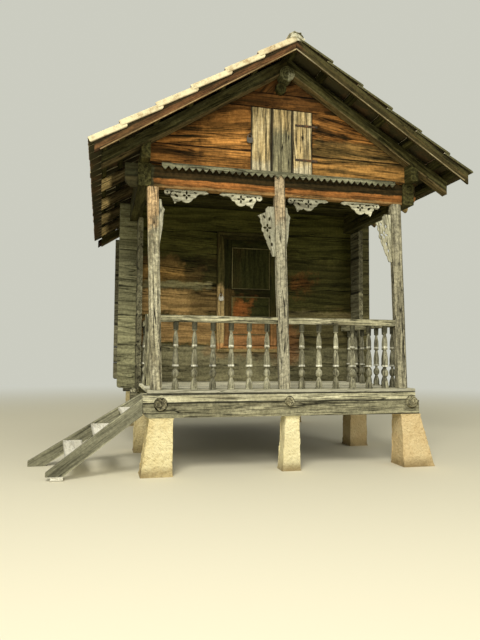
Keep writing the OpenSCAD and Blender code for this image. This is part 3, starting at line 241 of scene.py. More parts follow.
def wood(name, light, middle, dark, stain, stain_share=0.4, rings=20, contrast=1, crack=0.8,
         bleach=0, pale=(0.42, 0.39, 0.32), depth=0.004, knots=0.6, swirl=0.10, streaks=1,
         coarse=1, lines=0.5, gloss=0.15, run=2.4, mottle=0.5, rim=(0.5, 0.35), zones=()):
    """Old timber: rings round the pith, knots that bend them, fibres, drying cracks and stains.
    The grain attribute holds metres along the piece, then across it, shifted for each piece.
    A coarse wood has broader figures, and lines are the thin dark grooves between its fibres. Figures
    get shorter along the grain as run grows, and mottle is the share of fine dirt over all.
    Rim is (share, brightness) of the worn or dirty edges: a brightness above 1 makes them pale."""
    n = Nodes(name)
    grain = n.attribute("grain")
    end = n.spread(n.attribute("end", "Fac"), 0.75, 0.92)
    place, axes = n.place()
    axes = dict(zip(AXIS_NAMES, [*axes, *n.parts(n.attribute("inside"))]))
    across = n.parts(grain)[1:]

    def figure(length, width, detail=3, rough=0.55, distort=0, shift=(0, 0, 0)):
        """Noise that is stretched along the grain."""
        return n.noise(n.scaled(grain, (length * run, width, width), shift), 1, detail, rough, distort)

    slow = figure(0.5, 3.6, 2, 0.5)
    broad = figure(0.6, 9 / coarse, 4, 0.6, 0.2 * coarse)
    streak = figure(1.1, 34 / coarse, 4, 0.7, 0.15 * coarse)
    fibre = figure(3, 110, 3, 0.65)
    patch = figure(0.5, 2.4, 4, 0.6, shift=(3, 7, 1))
    deep = figure(0.8, 23, 3, 0.6, 0.5, (1, 4, 2))
    groove = figure(1.2, 62, 3, 0.65, 0.2, (4, 2, 6))
    knot = n.spread(n.cells(n.scaled(grain, (1.3, 4.2, 4.2)), 1), 0.03, 0.26, 1, 0)

    # Year rings, bent by slow waves and by knots
    reach = n.math("SQRT", n.plus(n.math("POWER", across[0], 2), n.math("POWER", across[1], 2)))
    bent = n.plus(n.plus(reach, n.times(slow, swirl)), n.times(knot, 0.06 * knots))
    ring = n.math("FRACT", n.times(bent, rings))
    band = n.times(n.spread(ring, 0, 0.75), n.spread(ring, 1, 0.84))
    value = n.total((band, 0.20 * contrast), (streak, 0.62), (broad, 0.55), (fibre, 0.26))
    value = n.minus(value, 0.26 + 0.08 * contrast)
    ramp = n.add("ValToRGB", {0: value})
    first, last = ramp.color_ramp.elements
    first.position, last.position = 0.25, 0.72
    first.color, last.color = (*dark, 1), (*light, 1)
    ramp.color_ramp.elements.new(0.45).color = (*middle, 1)
    n.colour = ramp.outputs[0]

    # Stains, knots, bleached faces and dark streaks
    n.stain(patch, 0.62 - 0.3 * stain_share, 0.80 - 0.2 * stain_share, 0.85,
            n.mix(0.5, n.colour, stain))
    n.coat(n.times(n.spread(knot, 0.60, 0.95), 0.8 * knots), dark)
    if bleach:
        open_faces = figure(0.9, 8, 4, 0.65, shift=(9, 2, 4))
        n.coat(n.times(n.spread(open_faces, 0.40, 0.66), bleach),
               n.mix(n.spread(streak, 0.35, 0.6), middle, pale))
    n.stain(deep, 0.59, 0.69, 0.65 * streaks, dimmed(dark, 0.9))

    # Places with a tint of their own, with uneven edges
    cloud = n.minus(n.noise(place, 7, 4, 0.65), 0.5)
    rough_edge = n.plus(n.minus(broad, 0.5), n.times(cloud, 2.6))
    for tint, share, soft, bounds in zones:
        for axis, (low, high) in bounds.items():
            at = n.plus(axes[axis], n.times(rough_edge, 2.2 * soft))
            share = n.times(n.between(at, low, high, soft), share)
        n.coat(share, n.mix(n.spread(value, 0.2, 0.75), dimmed(tint, 0.42), tint))

    # Grooves, dirt, worn rims and the tone of each piece
    n.coat(n.spread(groove, 0.38, 0.50, lines, 0), dimmed(dark, 1.2))
    n.shade(n.spread(n.noise(place, 30, 5, 0.75), 0.30, 0.70, 1 - 0.6 * mottle, 1 + 0.45 * mottle))
    edge = n.plus(n.attribute("rim", "Fac"), n.times(n.minus(streak, 0.5), 0.5))
    n.stain(edge, 0.62, 0.80, rim[0], n.mix(1, n.colour, n.grey(rim[1]), "MULTIPLY"))
    n.shade(n.spread(n.attribute("tone", "Fac"), 0, 1, 0.74, 1.22))

    # Drying cracks along the grain, and rays over the ends
    crack_field = figure(0.4, 15, 3, 0.55, 0.4, (5, 1, 8))
    gap = n.spread(n.math("ABSOLUTE", n.minus(crack_field, 0.5)), 0, 0.022, 1, 0)
    gap = n.times(gap, n.spread(figure(0.6, 5, 2, shift=(2, 6, 3)), 0.44, 0.56))
    turn = n.math("ARCTAN2", across[0], across[1])
    ray = n.math("ABSOLUTE", n.math("SINE", n.plus(n.times(turn, 4), n.times(broad, 9))))
    gap = n.math("MAXIMUM", gap, n.times(n.spread(ray, 0, 0.10, 1, 0), end))
    n.coat(n.times(end, 0.35), n.mix(0.5, n.colour, middle, "MULTIPLY"))
    n.coat(n.times(gap, crack), dimmed(dark, 0.15))
    height = n.total((streak, 0.55), (fibre, 0.35), (band, 0.12), (gap, -1.6 * crack))
    return n.finish(n.spread(value, 0, 1, 0.92, 0.75), height, depth, gloss)


def sandstone(name, light, middle, deep, dirt_height=0.16, side_tint=0):
    """Warm tooled stone with slanting strokes, small holes and dirt at its foot.
    Stones beyond the middle of the front are redder by the side tint."""
    n = Nodes(name)
    place, axes = n.place()
    big = n.noise(place, 4, 4, 0.6)
    fine = n.noise(place, 60, 4, 0.7)
    dents = n.cells(place, 34)
    stains = n.noise(n.scaled(place, (3, 3, 1.2)), 1, 4, 0.65)
    slant = n.add("Mapping", {"Vector": place, "Rotation": (0, 0.75, 0),
                              "Scale": (0.055, 0.055, 0.009)}, vector_type="TEXTURE")
    strokes = n.noise(slant.outputs[0], 1, 2, 0.6)
    n.colour = n.mix(n.spread(big, 0.35, 0.68), middle, light)
    n.stain(fine, 0.52, 0.75, 0.55, deep)
    n.stain(strokes, 0.56, 0.68, 0.5, deep)
    n.coat(n.spread(dents, 0, 0.35, 0.45, 0), dimmed(deep, 0.7))
    n.stain(stains, 0.56, 0.72, 0.35, dimmed(middle, 0.55))
    n.stain(axes[0], 0.5, 1, side_tint, n.mix(0.6, n.colour, (0.60, 0.40, 0.21)))
    # Stones in the middle of the front are lightened: painted light
    n.coat(n.times(n.between(axes[0], -0.7, 0.7, 0.2), 0.45), (0.95, 0.90, 0.58))
    n.coat(n.times(n.spread(axes[2], dirt_height, 0), n.spread(big, 0.3, 0.6, 0.3, 0.9)),
           dimmed(deep, 0.6))
    return n.finish(0.93, n.total((dents, 0.8), (fine, 0.5), (strokes, -0.9)), 0.014, 0.15)


def fired_clay(name):
    """Old pale roof tiles: cream and yellow on top, redder and darkened by painted shade where they face
    down, with lichen.
    """
    n = Nodes(name)
    place, axes = n.place()
    tone = n.attribute("tone", "Fac")
    normal = n.parts(n.add("NewGeometry").outputs["Normal"])
    big = n.noise(place, 2.3, 4, 0.65)
    fine = n.noise(place, 38, 4, 0.7)
    n.colour = n.mix(tone, (0.60, 0.47, 0.27), (0.78, 0.70, 0.47))

    # About one tile in seven is redder; sand, green film, pale spots and dark lichen lie over all
    n.stain(n.math("FRACT", n.times(tone, 7)), 0.78, 0.92, 0.7, (0.50, 0.29, 0.17))
    n.stain(fine, 0.48, 0.75, 0.45, (0.48, 0.31, 0.17))
    n.stain(big, 0.50, 0.70, 0.60, (0.36, 0.35, 0.20))
    n.coat(n.spread(n.cells(place, 16), 0.05, 0.15, 0.8, 0), (0.74, 0.73, 0.55))
    n.stain(n.noise(place, 9, 4, 0.7), 0.60, 0.68, 0.75, (0.13, 0.13, 0.06))

    # Undersides and noses: redder clay, darkened as painted shade where the tiles face down and at their
    # lower ends
    below = n.mix(n.spread(big, 0.48, 0.60), (0.028, 0.025, 0.008), (0.080, 0.045, 0.016))
    n.stain(normal[2], 0.10, -0.30, 0.96, below)
    nose = n.spread(n.math("ABSOLUTE", normal[0]), 0.70, 0.86)
    nose = n.times(nose, n.spread(normal[2], 0.45, 0.30))
    n.coat(n.times(nose, 0.9), n.mix(tone, (0.15, 0.065, 0.028), (0.34, 0.20, 0.10)))

    # Front verge: pale blotches, a dark lower edge that is painted shade, a dirty ridge end, and moss with
    # painted shade on the right slope
    facing = n.spread(normal[1], -0.55, -0.8)
    blotch = n.spread(n.noise(place, 7, 5, 0.75), 0.45, 0.66)
    n.coat(n.times(facing, 0.8), n.mix(blotch, (0.62, 0.57, 0.36), (0.30, 0.22, 0.11)))
    # Painted shade along the lower edge of the verge tiles
    shaded_low_edge = n.spread(n.parts(n.attribute("inside"))[2], -0.012, -0.030)
    n.coat(n.times(n.times(facing, shaded_low_edge), 0.85), (0.10, 0.055, 0.025))
    ridge = n.times(facing, n.spread(axes[2], 4.93, 4.97))
    n.coat(n.times(ridge, 0.8), n.mix(n.spread(fine, 0.42, 0.60), (0.36, 0.34, 0.22), (0.10, 0.095, 0.045)))
    # On the right slope the verge is darkened: moss and painted shade
    right_side = n.times(facing, n.spread(axes[0], -0.14, 0.02))
    moss_and_shade = n.mix(n.spread(fine, 0.40, 0.62), (0.024, 0.026, 0.009), (0.085, 0.080, 0.028))
    n.coat(n.times(right_side, 0.92), moss_and_shade)
    return n.finish(0.88, n.total((fine, 0.6), (big, 0.5)), 0.003, 0.10)


def rusted_iron(name):
    """Forged iron, dark brown with rust in its hollows."""
    n = Nodes(name)
    rust = n.noise(n.place()[0], 26, 5, 0.7)
    n.colour = n.mix(n.spread(rust, 0.42, 0.66), (0.034, 0.029, 0.020), (0.13, 0.062, 0.025))
    return n.finish(n.spread(rust, 0.35, 0.7, 0.65, 0.92), rust, 0.002, 0.2, metal=0.15)


def worn_steel(name):
    """Dull steel of padlocks, scratched, with dirt in their hollows; the one in the gable is darker."""
    n = Nodes(name)
    place, axes = n.place()
    scratch = n.noise(n.scaled(place, (240, 240, 25)), 1, 3, 0.6)
    dirt = n.noise(place, 45, 4, 0.65)
    n.colour = n.mix(n.spread(scratch, 0.35, 0.65), (0.31, 0.295, 0.24), (0.56, 0.535, 0.43))
    n.stain(dirt, 0.50, 0.68, 0.8, (0.14, 0.11, 0.08))
    n.stain(axes[2], 3, 3.2, 0.94, (0.050, 0.046, 0.036))
    return n.finish(n.spread(scratch, 0.3, 0.7, 0.34, 0.55), scratch, 0.0008, metal=0.55)


def lime_mortar(name):
    """Pale crumbling mortar with grains of sand and dark lichen."""
    n = Nodes(name)
    place = n.place()[0]
    grains = n.noise(place, 90, 4, 0.7)
    patches = n.noise(place, 24, 4, 0.7)
    n.colour = n.mix(n.spread(grains, 0.35, 0.65), (0.22, 0.20, 0.12), (0.62, 0.60, 0.43))
    n.stain(patches, 0.50, 0.60, 0.85, (0.085, 0.090, 0.040))
    return n.finish(0.95, grains, 0.006)


def solids(node):
    """The separate solids of a CAD node, each as one clean mesh with flat faces."""
    whole = bmesh.new()
    whole.from_mesh(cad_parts[node].data)
    bmesh.ops.remove_doubles(whole, verts=whole.verts, dist=WELD)
    bmesh.ops.dissolve_limit(whole, angle_limit=FLAT_ANGLE, verts=whole.verts, edges=whole.edges)
    seen = set()
    pieces = []
    for start in whole.verts:
        if start in seen:
            continue
        island = [start]
        seen.add(start)
        for vert in island:
            for edge in vert.link_edges:
                other = edge.other_vert(vert)
                if other not in seen:
                    seen.add(other)
                    island.append(other)
        piece = bmesh.new()
        copies = {vert: piece.verts.new(vert.co) for vert in island}
        for face in dict.fromkeys(face for vert in island for face in vert.link_faces):
            piece.faces.new([copies[vert] for vert in face.verts])
        pieces.append(piece)
    whole.free()
    return pieces


def long_axis(piece):
    """The direction in which a solid is longest, from its corners."""
    points = np.array([vert.co[:] for vert in piece.verts])
    vectors = np.linalg.eigh(np.cov((points - points.mean(axis=0)).T))[1]
    axis = Vector(vectors[:, 2])
    return axis if max(axis, key=abs) > 0 else -axis


def grain_frame(piece, along=None):
    """Three directions of a timber: along its grain, and two across it."""
    along = along or long_axis(piece)
    side = AXES[2] if abs(along.z) < 0.9 else AXES[1]
    across = along.cross(side).normalized()
    return along, across, across.cross(along)


def box_of(piece, directions=AXES):
    """The lowest and highest reach of a piece along each of its directions."""
    reach = [[vert.co.dot(direction) for vert in piece.verts] for direction in directions]
    return [min(values) for values in reach], [max(values) for values in reach]


def cut(piece, direction, at, **settings):
    """Cuts a piece by the plane that lies so far along a direction."""
    geometry = piece.verts[:] + piece.edges[:] + piece.faces[:]
    return bmesh.ops.bisect_plane(piece, geom=geometry, dist=1e-6, plane_co=direction * at,
                                  plane_no=direction, **settings)["geom_cut"]


def slice_up(piece, directions, steps):
    """Cuts the faces of a piece by level planes, so that its faces can be worked."""
    for direction, step in zip(directions, steps):
        (low,), (high,) = box_of(piece, [direction])
        count = int((high - low) / step)
        for i in range(1, count + 1):
            cut(piece, direction, low + (high - low) * i / (count + 1))


def round_edges(piece, width, segments=2):
    """Wears the sharp edges of a piece."""
    sharp = [edge for edge in piece.edges if edge.is_manifold and edge.calc_face_angle(0) > SHARP_ANGLE]
    if sharp:
        bmesh.ops.bevel(piece, geom=sharp, offset=width, segments=segments, profile=0.6,
                        affect="EDGES", clamp_overlap=True)


def hew(piece, directions, depth, seed):
    """Presses the surface of a timber in by up to a depth, in long shallow waves."""
    piece.normal_update()
    stretch = (3.2, 11, 11)
    moves = []
    for vert in piece.verts:
        at = Vector([vert.co.dot(way) * size for way, size in zip(directions, stretch)])
        wave = 0.5 + 0.5 * noise.noise(at + Vector((seed, 0, 0)))
        chip = max(0.0, noise.noise(at * 2.7 + Vector((0, seed, 0)))) ** 2
        moves.append(vert.normal * -depth * (wave + 1.5 * chip))
    for vert, move in zip(piece.verts, moves):
        vert.co += move


def work(piece, directions, start, edge=0.008, depth=0.004, steps=TIMBER_STEPS):
    """Wears the edges of a timber and hews its faces."""
    round_edges(piece, edge)
    slice_up(piece, directions, steps)
    hew(piece, directions, depth, start.uniform(0, 90))


def gather(name, pieces, look, nodes=(), body="root", pith_reach=0.16):
    """Joins dressed solids, given as (mesh, directions, random start), into one object.
    The grain lies along each solid, round a pith that is up to pith_reach beside its middle."""
    joined = bmesh.new()
    layers = joined.verts.layers
    grain, inside = (layers.float_vector.new(key) for key in ("grain", "inside"))
    tone, end, rim = (layers.float.new(key) for key in ("tone", "end", "rim"))
    for piece, directions, start in pieces:
        piece.normal_update()
        middle = sum((vert.co for vert in piece.verts), Vector()) / len(piece.verts)
        beside = (start.uniform(-pith_reach, pith_reach), start.uniform(-pith_reach, pith_reach))
        pith = Vector((start.uniform(-9, 9), *beside))
        shade = start.random()
        low, high = box_of(piece, directions)
        copies = {}
        for vert in piece.verts:
            copy = copies[vert] = joined.verts.new(vert.co)
            copy[inside] = Vector([(vert.co - middle).dot(way) for way in directions])
            copy[grain] = copy[inside] + pith
            copy[tone] = shade
            copy[end] = abs(vert.normal.dot(directions[0]))
            depths = [min(vert.co.dot(directions[i]) - low[i], high[i] - vert.co.dot(directions[i]))
                      for i in (1, 2)]
            copy[rim] = max(0.0, 1 - max(depths) / RIM_REACH)
        for face in piece.faces:
            joined.faces.new([copies[vert] for vert in face.verts]).smooth = True
        piece.free()
    mesh = bpy.data.meshes.new(name)
    joined.to_mesh(mesh)
    joined.free()
    mesh.set_sharp_from_angle(angle=SHARP_ANGLE)
    mesh.materials.append(materials[look])
    made = bpy.data.objects.new(name, mesh)
    scene.collection.objects.link(made)
    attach(made, body)
    if nodes:
        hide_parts(*nodes)


def dress(node, look, slot, wear=work, frame_of=grain_frame, seed=None, body="root", pith_reach=0.16,
          **how):
    """Dresses each solid of a node: wear works its faces, and frame_of gives the way of its grain."""
    dressed = []
    for number, piece in enumerate(solids(node)):
        start = random.Random(f"{seed or node} {number}")
        directions = frame_of(piece)
        wear(piece, directions, start, **how)
        dressed.append((piece, directions, start))
    gather("dressed_" + node, dressed, look, [node], body, pith_reach)


def boarded(node, look, width):
    """Dresses a floor slab as boards that lie side by side, each a little wider or lower."""
    across, gap, uneven = AXES[1], 0.004, 0.18
    start = random.Random(node)
    dressed = []
    for slab in solids(node):
        (near,), (far,) = box_of(slab, [across])
        count = round((far - near) / width)
        seams = [near + (far - near) * (i + start.uniform(-uneven, uneven)) / count
                 for i in range(1, count)]
        for low, high in zip([None, *seams], [*seams, None]):
            board = slab.copy()
            for at, way in ((low, -1), (high, 1)):
                if at is None:
                    continue
                found = cut(board, across * way, way * at - gap / 2, clear_outer=True)
                rim = [item for item in found if isinstance(item, bmesh.types.BMEdge)]
                bmesh.ops.edgeloop_fill(board, edges=rim)
            directions = grain_frame(board, AXES[0])
            work(board, directions, start, 0.004, 0.003)
            dressed.append((board, directions, random.Random(f"{node} {len(dressed)}")))
        slab.free()
    gather("dressed_" + node, dressed, look, [node], pith_reach=0.2)


def hatch_boards():
    """Dresses the three hatch boards; the middle one has a dark wet stain."""
    for number, piece in enumerate(sorted(solids("loft_hatch"), key=lambda piece: box_of(piece)[0][0])):
        start = random.Random(f"hatch {number}")
        directions = grain_frame(piece, AXES[2])
        work(piece, directions, start, 0.005)
        look = "hatch_middle" if number == 1 else "hatch"
        gather(f"hatch_board_{number + 1}", [(piece, directions, start)], look,
               ["loft_hatch"] if number == 0 else ())


def chop_stub(piece, directions, start):
    """Works a log under the floor: its front stub is chopped to uneven corners."""
    fade, dent_depth, tip = 0.02, 0.018, 0.012
    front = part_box("bearing_beams")[0][1] + 0.01
    round_edges(piece, 0.006)
    slice_up(piece, directions, LOG_STEPS)
    low, high = box_of(piece)
    x, z, radius = (low[0] + high[0]) / 2, (low[2] + high[2]) / 2, (high[0] - low[0]) / 2
    corners = [start.uniform(0.78, 1.0) for _ in range(5)]
    turned_by = start.uniform(0, 1)
    for vert in piece.verts:
        turn = (math.atan2(vert.co.z - z, vert.co.x - x) / (2 * math.pi) + turned_by) * len(corners)
        corner = math.floor(turn)
        part = turn - corner
        first, second = corners[corner % len(corners)], corners[(corner + 1) % len(corners)]
        chord = (first * (1 - part) + second * part) * (1 - 0.55 * part * (1 - part))
        share = min(1.0, max(0.0, (front - vert.co.y) / fade))
        size = 1 + share * (chord - 1)
        reach = math.hypot(vert.co.x - x, vert.co.z - z) / radius
        dent = dent_depth * share * (0.5 + 0.5 * noise.noise(vert.co * 28)) * (reach < 1.1)
        vert.co = Vector((x + (vert.co.x - x) * size, vert.co.y, z + (vert.co.z - z) * size))
        if vert.co.y < low[1] + tip:
            vert.co.y += dent


def tool_stone(piece, directions, start):
    """Works a stone block: round corners, and the lumps and dents of a pointed tool."""
    flat_end, lump_depth, dent_depth, grit_depth = 0.03, 0.016, 0.010, 0.006
    shift = Vector((start.uniform(0, 50), start.uniform(0, 50), 0))
    round_edges(piece, 0.024, 3)
    slice_up(piece, directions, STONE_STEPS)
    piece.normal_update()
    (foot,), (head,) = box_of(piece, AXES[2:])
    for vert in piece.verts:
        held = min(1.0, (vert.co.z - foot) / flat_end, (head - vert.co.z) / flat_end)
        at = vert.co + shift
        lumps = 0.5 + 0.5 * noise.noise(at * 7)
        dents = max(0.0, 1 - noise.voronoi(at * 22)[0][0] / 0.45)
        grit = 0.5 + 0.5 * noise.noise(at * 45)
        level = Vector((vert.normal.x, vert.normal.y, 0))
        vert.co -= level * held * (lump_depth * lumps + dent_depth * dents + grit_depth * grit)


def loft(rings):
    """A closed mesh through rings that have as many points each."""
    piece = bmesh.new()
    rows = [[piece.verts.new(point) for point in ring] for ring in rings]
    for low, high in zip(rows, rows[1:]):
        for i in range(len(low)):
            j = (i + 1) % len(low)
            piece.faces.new((low[i], low[j], high[j], high[i]))
    piece.faces.new(rows[0][::-1])
    piece.faces.new(rows[-1])
    bmesh.ops.recalc_face_normals(piece, faces=piece.faces)
    return piece


def circle(count):
    """Angles round a circle."""
    return [2 * math.pi * k / count for k in range(count)]


# Section of a roof tile across its width, in shares of its width and thickness: top, then underside
TILE_SECTION = [
    (0.0, 0.52), (0.035, 0.90), (0.08, 1.0), (0.13, 0.92), (0.17, 0.66), (0.30, 0.60), (0.42, 0.62),
    (0.47, 0.84), (0.50, 0.90), (0.53, 0.84), (0.58, 0.62), (0.82, 0.60), (0.90, 0.66), (0.94, 0.84),
    (0.985, 0.80), (0.985, 0.30),
    (0.90, 0.20), (0.80, 0.16), (0.50, 0.30), (0.20, 0.16), (0.12, 0.40), (0.05, 0.40), (0.02, 0.0)]
# Rings of a tile from its head to its nose: share of its length, and how far top and underside move
TILE_RINGS = ((0.0, -0.15, 0.0), (0.05, 0.0, 0.0), (0.5, 0.0, 0.0), (0.93, 0.0, 0.0),
              (0.985, -0.06, 0.0), (1.0, -0.30, 0.1))
TILE_COLUMNS = 24
TILE_GAP = 0.001
TILE_UNEVEN = 0.0015
LIP_THICK, LIP_DROP = 0.009, 0.045
LIP_RINGS = ((0.0, 0.6), (0.04, 1.0), (0.5, 0.96), (0.97, 1.0), (1.0, 0.8))


def lay_tiles(node):
    """Lays single interlocking tiles in the place of each course of a roof slope."""
    dressed = []
    side = 1 if "right" in node else -1
    for course in solids(node):
        edge = max((e for e in course.edges if abs(e.verts[0].co.y - e.verts[1].co.y) < WELD),
                   key=lambda e: e.calc_length())
        down = (edge.verts[1].co - edge.verts[0].co).normalized()
        down = down if down.z < 0 else -down
        out = Vector((-side * down.z, 0, side * down.x))
        directions = (down, AXES[1], out)
        (_, near, below), (_, far, above) = box_of(course, directions)
        thick = above - below
        level = [vert.co.dot(down) for vert in course.verts if vert.co.dot(out) < below + 0.25 * thick]
        head, nose = min(level), max(level)
        width = (far - near) / TILE_COLUMNS
        course.free()
        for column in range(TILE_COLUMNS):
            start = random.Random(f"{node} {len(dressed)}")
            turn = start.uniform(-0.004, 0.004)
            short = start.uniform(0.0, 0.008)
            lift = start.uniform(0.0, 0.06)
            rings = []
            for share, top, low in TILE_RINGS:
                along = head + TILE_GAP + share * (nose - head - 2 * TILE_GAP - short)
                ring = []
                for across, height in TILE_SECTION:
                    across = across if side > 0 else 1 - across
                    if share > 0.9 and height < 0.5:
                        height *= 0.3
                    change = top if height > 0.5 else low
                    y = near + (column + 0.01 + 0.98 * across) * width + turn * (share - 0.5)
                    h = below + thick * max(0.0, min(1.0, height + change - lift * height))
                    spot = down * along + out * h + Vector((0, y, 0))
                    wobble = TILE_UNEVEN * noise.noise(spot * 14 + Vector((column, 0, 0)))
                    ring.append(spot - out * abs(wobble))
                rings.append(ring)
            dressed.append((loft(rings), directions, start))
        lip_y = near + TILE_GAP if side < 0 else far - TILE_GAP
        rings = []
        for share, drop in LIP_RINGS:
            spot = down * (head + 0.004 + share * (nose - head - 0.010)) + Vector((0, lip_y, 0))
            tip = -drop * LIP_DROP
            section = ((0.001, 0.55 * thick), (LIP_THICK, 0.75 * thick), (LIP_THICK, 0.9 * tip),
                       (0.5 * LIP_THICK, tip), (0.0, 0.9 * tip))
            rings.append([spot + out * (below + h) - Vector((0, side * y, 0)) for y, h in section])
        start = random.Random(f"{node} lip {len(dressed)}")
        start.random()
        dressed.append((loft(rings), directions, start))
    gather("dressed_" + node, dressed, "clay", [node])


RIDGE_TILES = 16
# Rings of a ridge tile: share of its length, and how far it lies inside the ridge of the model
RIDGE_RINGS = ((0.0, -0.004), (0.4, -0.001), (0.5, -0.006), (1.0, -0.012), (1.14, -0.015))
RIDGE_THICK = 0.013
ARC_STEPS = 16
MORTAR_STEPS = 150
# Mortar that closes the ends of the ridge: depth from its end, and share of the tiles' inner radius
PLUG_RINGS = ((0.0, 0.45), (0.006, 0.72), (0.020, 0.92), (0.05, 1.05), (0.18, 1.05))


def lay_ridge():
    """Lays half-round ridge tiles that overlap, bedded in mortar."""
    low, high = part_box("ridge_tiles")
    half = (high[0] - low[0]) / 2
    rise = high[2] - low[2]
    radius = (half ** 2 + rise ** 2) / (2 * rise)
    middle = Vector(((low[0] + high[0]) / 2, 0, high[2] - radius))
    reach = math.asin(half / radius)
    pitch = (high[1] - low[1]) / RIDGE_TILES
    arc = [reach * (2 * i / ARC_STEPS - 1) for i in range(ARC_STEPS + 1)]

    def spot(turn, r, y, lift=0.0):
        """A point so far from the middle line of the ridge."""
        return middle + Vector((math.sin(turn) * r, y, math.cos(turn) * r + lift))

    dressed = []
    for number in range(RIDGE_TILES):
        start = random.Random(f"ridge {number}")
        rings = []
        for share, outer in RIDGE_RINGS:
            y = low[1] + pitch * (number + share) + start.uniform(0, 0.004)
            tilt = start.uniform(-0.002, 0.0)
            # The front edge of the first tile is chipped
            broken = 0.10 if number + share == 0 else 0.0
            ring = []
            for r, turns in ((radius + outer, arc), (radius + outer - RIDGE_THICK, arc[::-1])):
                for turn in turns:
                    chip = broken * max(0.0, 0.25 + noise.noise(Vector((turn * 2.6, 3.0, 0))))
                    ring.append(spot(turn, r, min(y + chip, high[1]), tilt))
            rings.append(ring)
        if number == RIDGE_TILES - 1:
            rings.pop()
        dressed.append((loft(rings), AXES, start))
    gather("dressed_ridge_tiles", dressed, "clay", ["ridge_tiles"])
    lumps = []
    for side in (-1, 1):
        rings = []
        for i in range(MORTAR_STEPS + 1):
            y = low[1] + 0.004 + (high[1] - low[1] - 0.008) * i / MORTAR_STEPS
            swell = 0.6 + 0.5 * noise.noise(Vector((side * 7, y * 11, 0)))
            ring = []
            for k, turn in enumerate(circle(8)):
                lump = swell * (1 + 0.35 * noise.noise(Vector((k * 3.1, y * 17, side * 5))))
                ring.append(Vector((middle.x + side * (half - 0.022 + 0.030 * lump * math.cos(turn)),
                                    y, low[2] + 0.010 + 0.020 * lump * math.sin(turn))))
            rings.append(ring)
        lumps.append((loft(rings), AXES, random.Random(side)))
    for y, way in ((low[1], 1), (high[1], -1)):
        rings = []
        for share, size in PLUG_RINGS:
            ring = []
            for k, turn in enumerate(circle(24)):
                grit = 1 + 0.16 * noise.noise(Vector((k * 1.7, share * 9, y)))
                point = spot(turn, (radius - 0.014) * size * grit, y + way * (0.006 + share))
                point.z = max(low[2] - 0.01, point.z)
                ring.append(point)
            rings.append(ring)
        lumps.append((loft(rings), AXES, random.Random(way)))
    gather("ridge_mortar", lumps, "mortar")


def cover_strips():
    """A thin pale strip runs along the lower edge of each verge board."""
    thick, height, inset, steps = 0.010, 0.011, 0.07, 30
    dressed = []
    centre = (cad_box[0][1] + cad_box[1][1]) / 2
    for number, board in enumerate(solids("verge_boards")):
        directions = along, across, up = grain_frame(board)
        low, high = box_of(board, directions)
        front = sum(vert.co.y for vert in board.verts) / len(board.verts) < centre
        outward = (across.y > 0) != front
        near, far = (high[1], high[1] + thick) if outward else (low[1] - thick, low[1])
        rings = []
        for i in range(steps + 1):
            at = along * (low[0] + inset + (high[0] - low[0] - 2 * inset) * i / steps)
            rings.append([at + across * side + up * (low[2] + rise)
                          for side, rise in ((near, 0), (far, 0), (far, height), (near, height))])
        board.free()
        dressed.append((loft(rings), directions, random.Random(f"cover {number}")))
    gather("verge_cover_strips", dressed, "strip")


def nail_heads(name, places):
    """Round forged nail heads that stand out of a front face."""
    radius, height = 0.007, 0.004
    way = Vector((0, -1, 0))
    side = way.orthogonal().normalized()
    third = way.cross(side)
    dressed = []
    for number, place in enumerate(places):
        rings = [[Vector(place) + way * height * rise + radius * share *
                  (side * math.cos(turn) + third * math.sin(turn)) for turn in circle(10)]
                 for share, rise in ((1.0, -0.2), (1.0, 0.25), (0.8, 0.7), (0.4, 0.95), (0.1, 1.0))]
        dressed.append((loft(rings), (way, side, third), random.Random(f"{name} {number}")))
    gather(name, dressed, "iron")


def strap_nails():
    """Four nails hold each strap of the hatch."""
    for number, piece in enumerate(sorted(solids("hatch_straps"), key=lambda piece: box_of(piece)[0][2])):
        low, high = box_of(piece)
        places = [(low[0] + share * (high[0] - low[0]), low[1], (low[2] + high[2]) / 2)
                  for share in (0.06, 0.35, 0.64, 0.94)]
        nail_heads(f"strap_nails_{number + 1}", places)
        piece.free()


def door_mouldings():
    """Thin mouldings frame the two sunk panels of the door leaf, on both faces."""
    groove, wide, deep, lifted = 0.012, 0.014, 0.009, 0.0002
    section = ((0, 0), (0, 1), (0.35, 1), (0.8, 0.5), (1, 0))
    panels = sorted(solids("door_leaf"), key=lambda piece: box_of(piece)[1][1] - box_of(piece)[0][1])
    dressed = []
    for piece in panels[:2]:
        low, high = box_of(piece)
        x0, x1, z0, z1 = low[0] + groove, high[0] - groove, low[2] + groove, high[2] - groove
        sides = ((x0, z0, x1 - x0), (x1, z0, z1 - z0), (x1, z1, x1 - x0), (x0, z1, z1 - z0))
        for face, way in ((low[1], -1), (high[1], 1)):
            for quarter, (x, z, length) in enumerate(sides):
                along = Vector((math.cos(quarter * math.pi / 2), 0, math.sin(quarter * math.pi / 2)))
                inward = Vector((-along.z, 0, along.x))
                rings = []
                for far in (False, True):
                    ring = []
                    for across, rise in section:
                        mitre = length - across * wide if far else across * wide
                        y = face + way * (lifted + (deep - lifted) * rise)
                        ring.append(Vector((x, y, z)) + along * mitre + inward * across * wide)
                    rings.append(ring)
                dressed.append((loft(rings), (along, AXES[1], inward),
                                random.Random(f"moulding {len(dressed)}")))
    for piece in panels:
        piece.free()
    gather("door_mouldings", dressed, "moulding", body="door")


BACKDROP = (0.60, 0.605, 0.53)
FLOOR_COLOUR = (0.73, 0.69, 0.53)
FLOOR_REACH = 60
FLOOR_FADE = (7.0, 19.0)
SKY_COLOUR = (0.95, 0.94, 0.84)
SKY_STRENGTH = 0.50


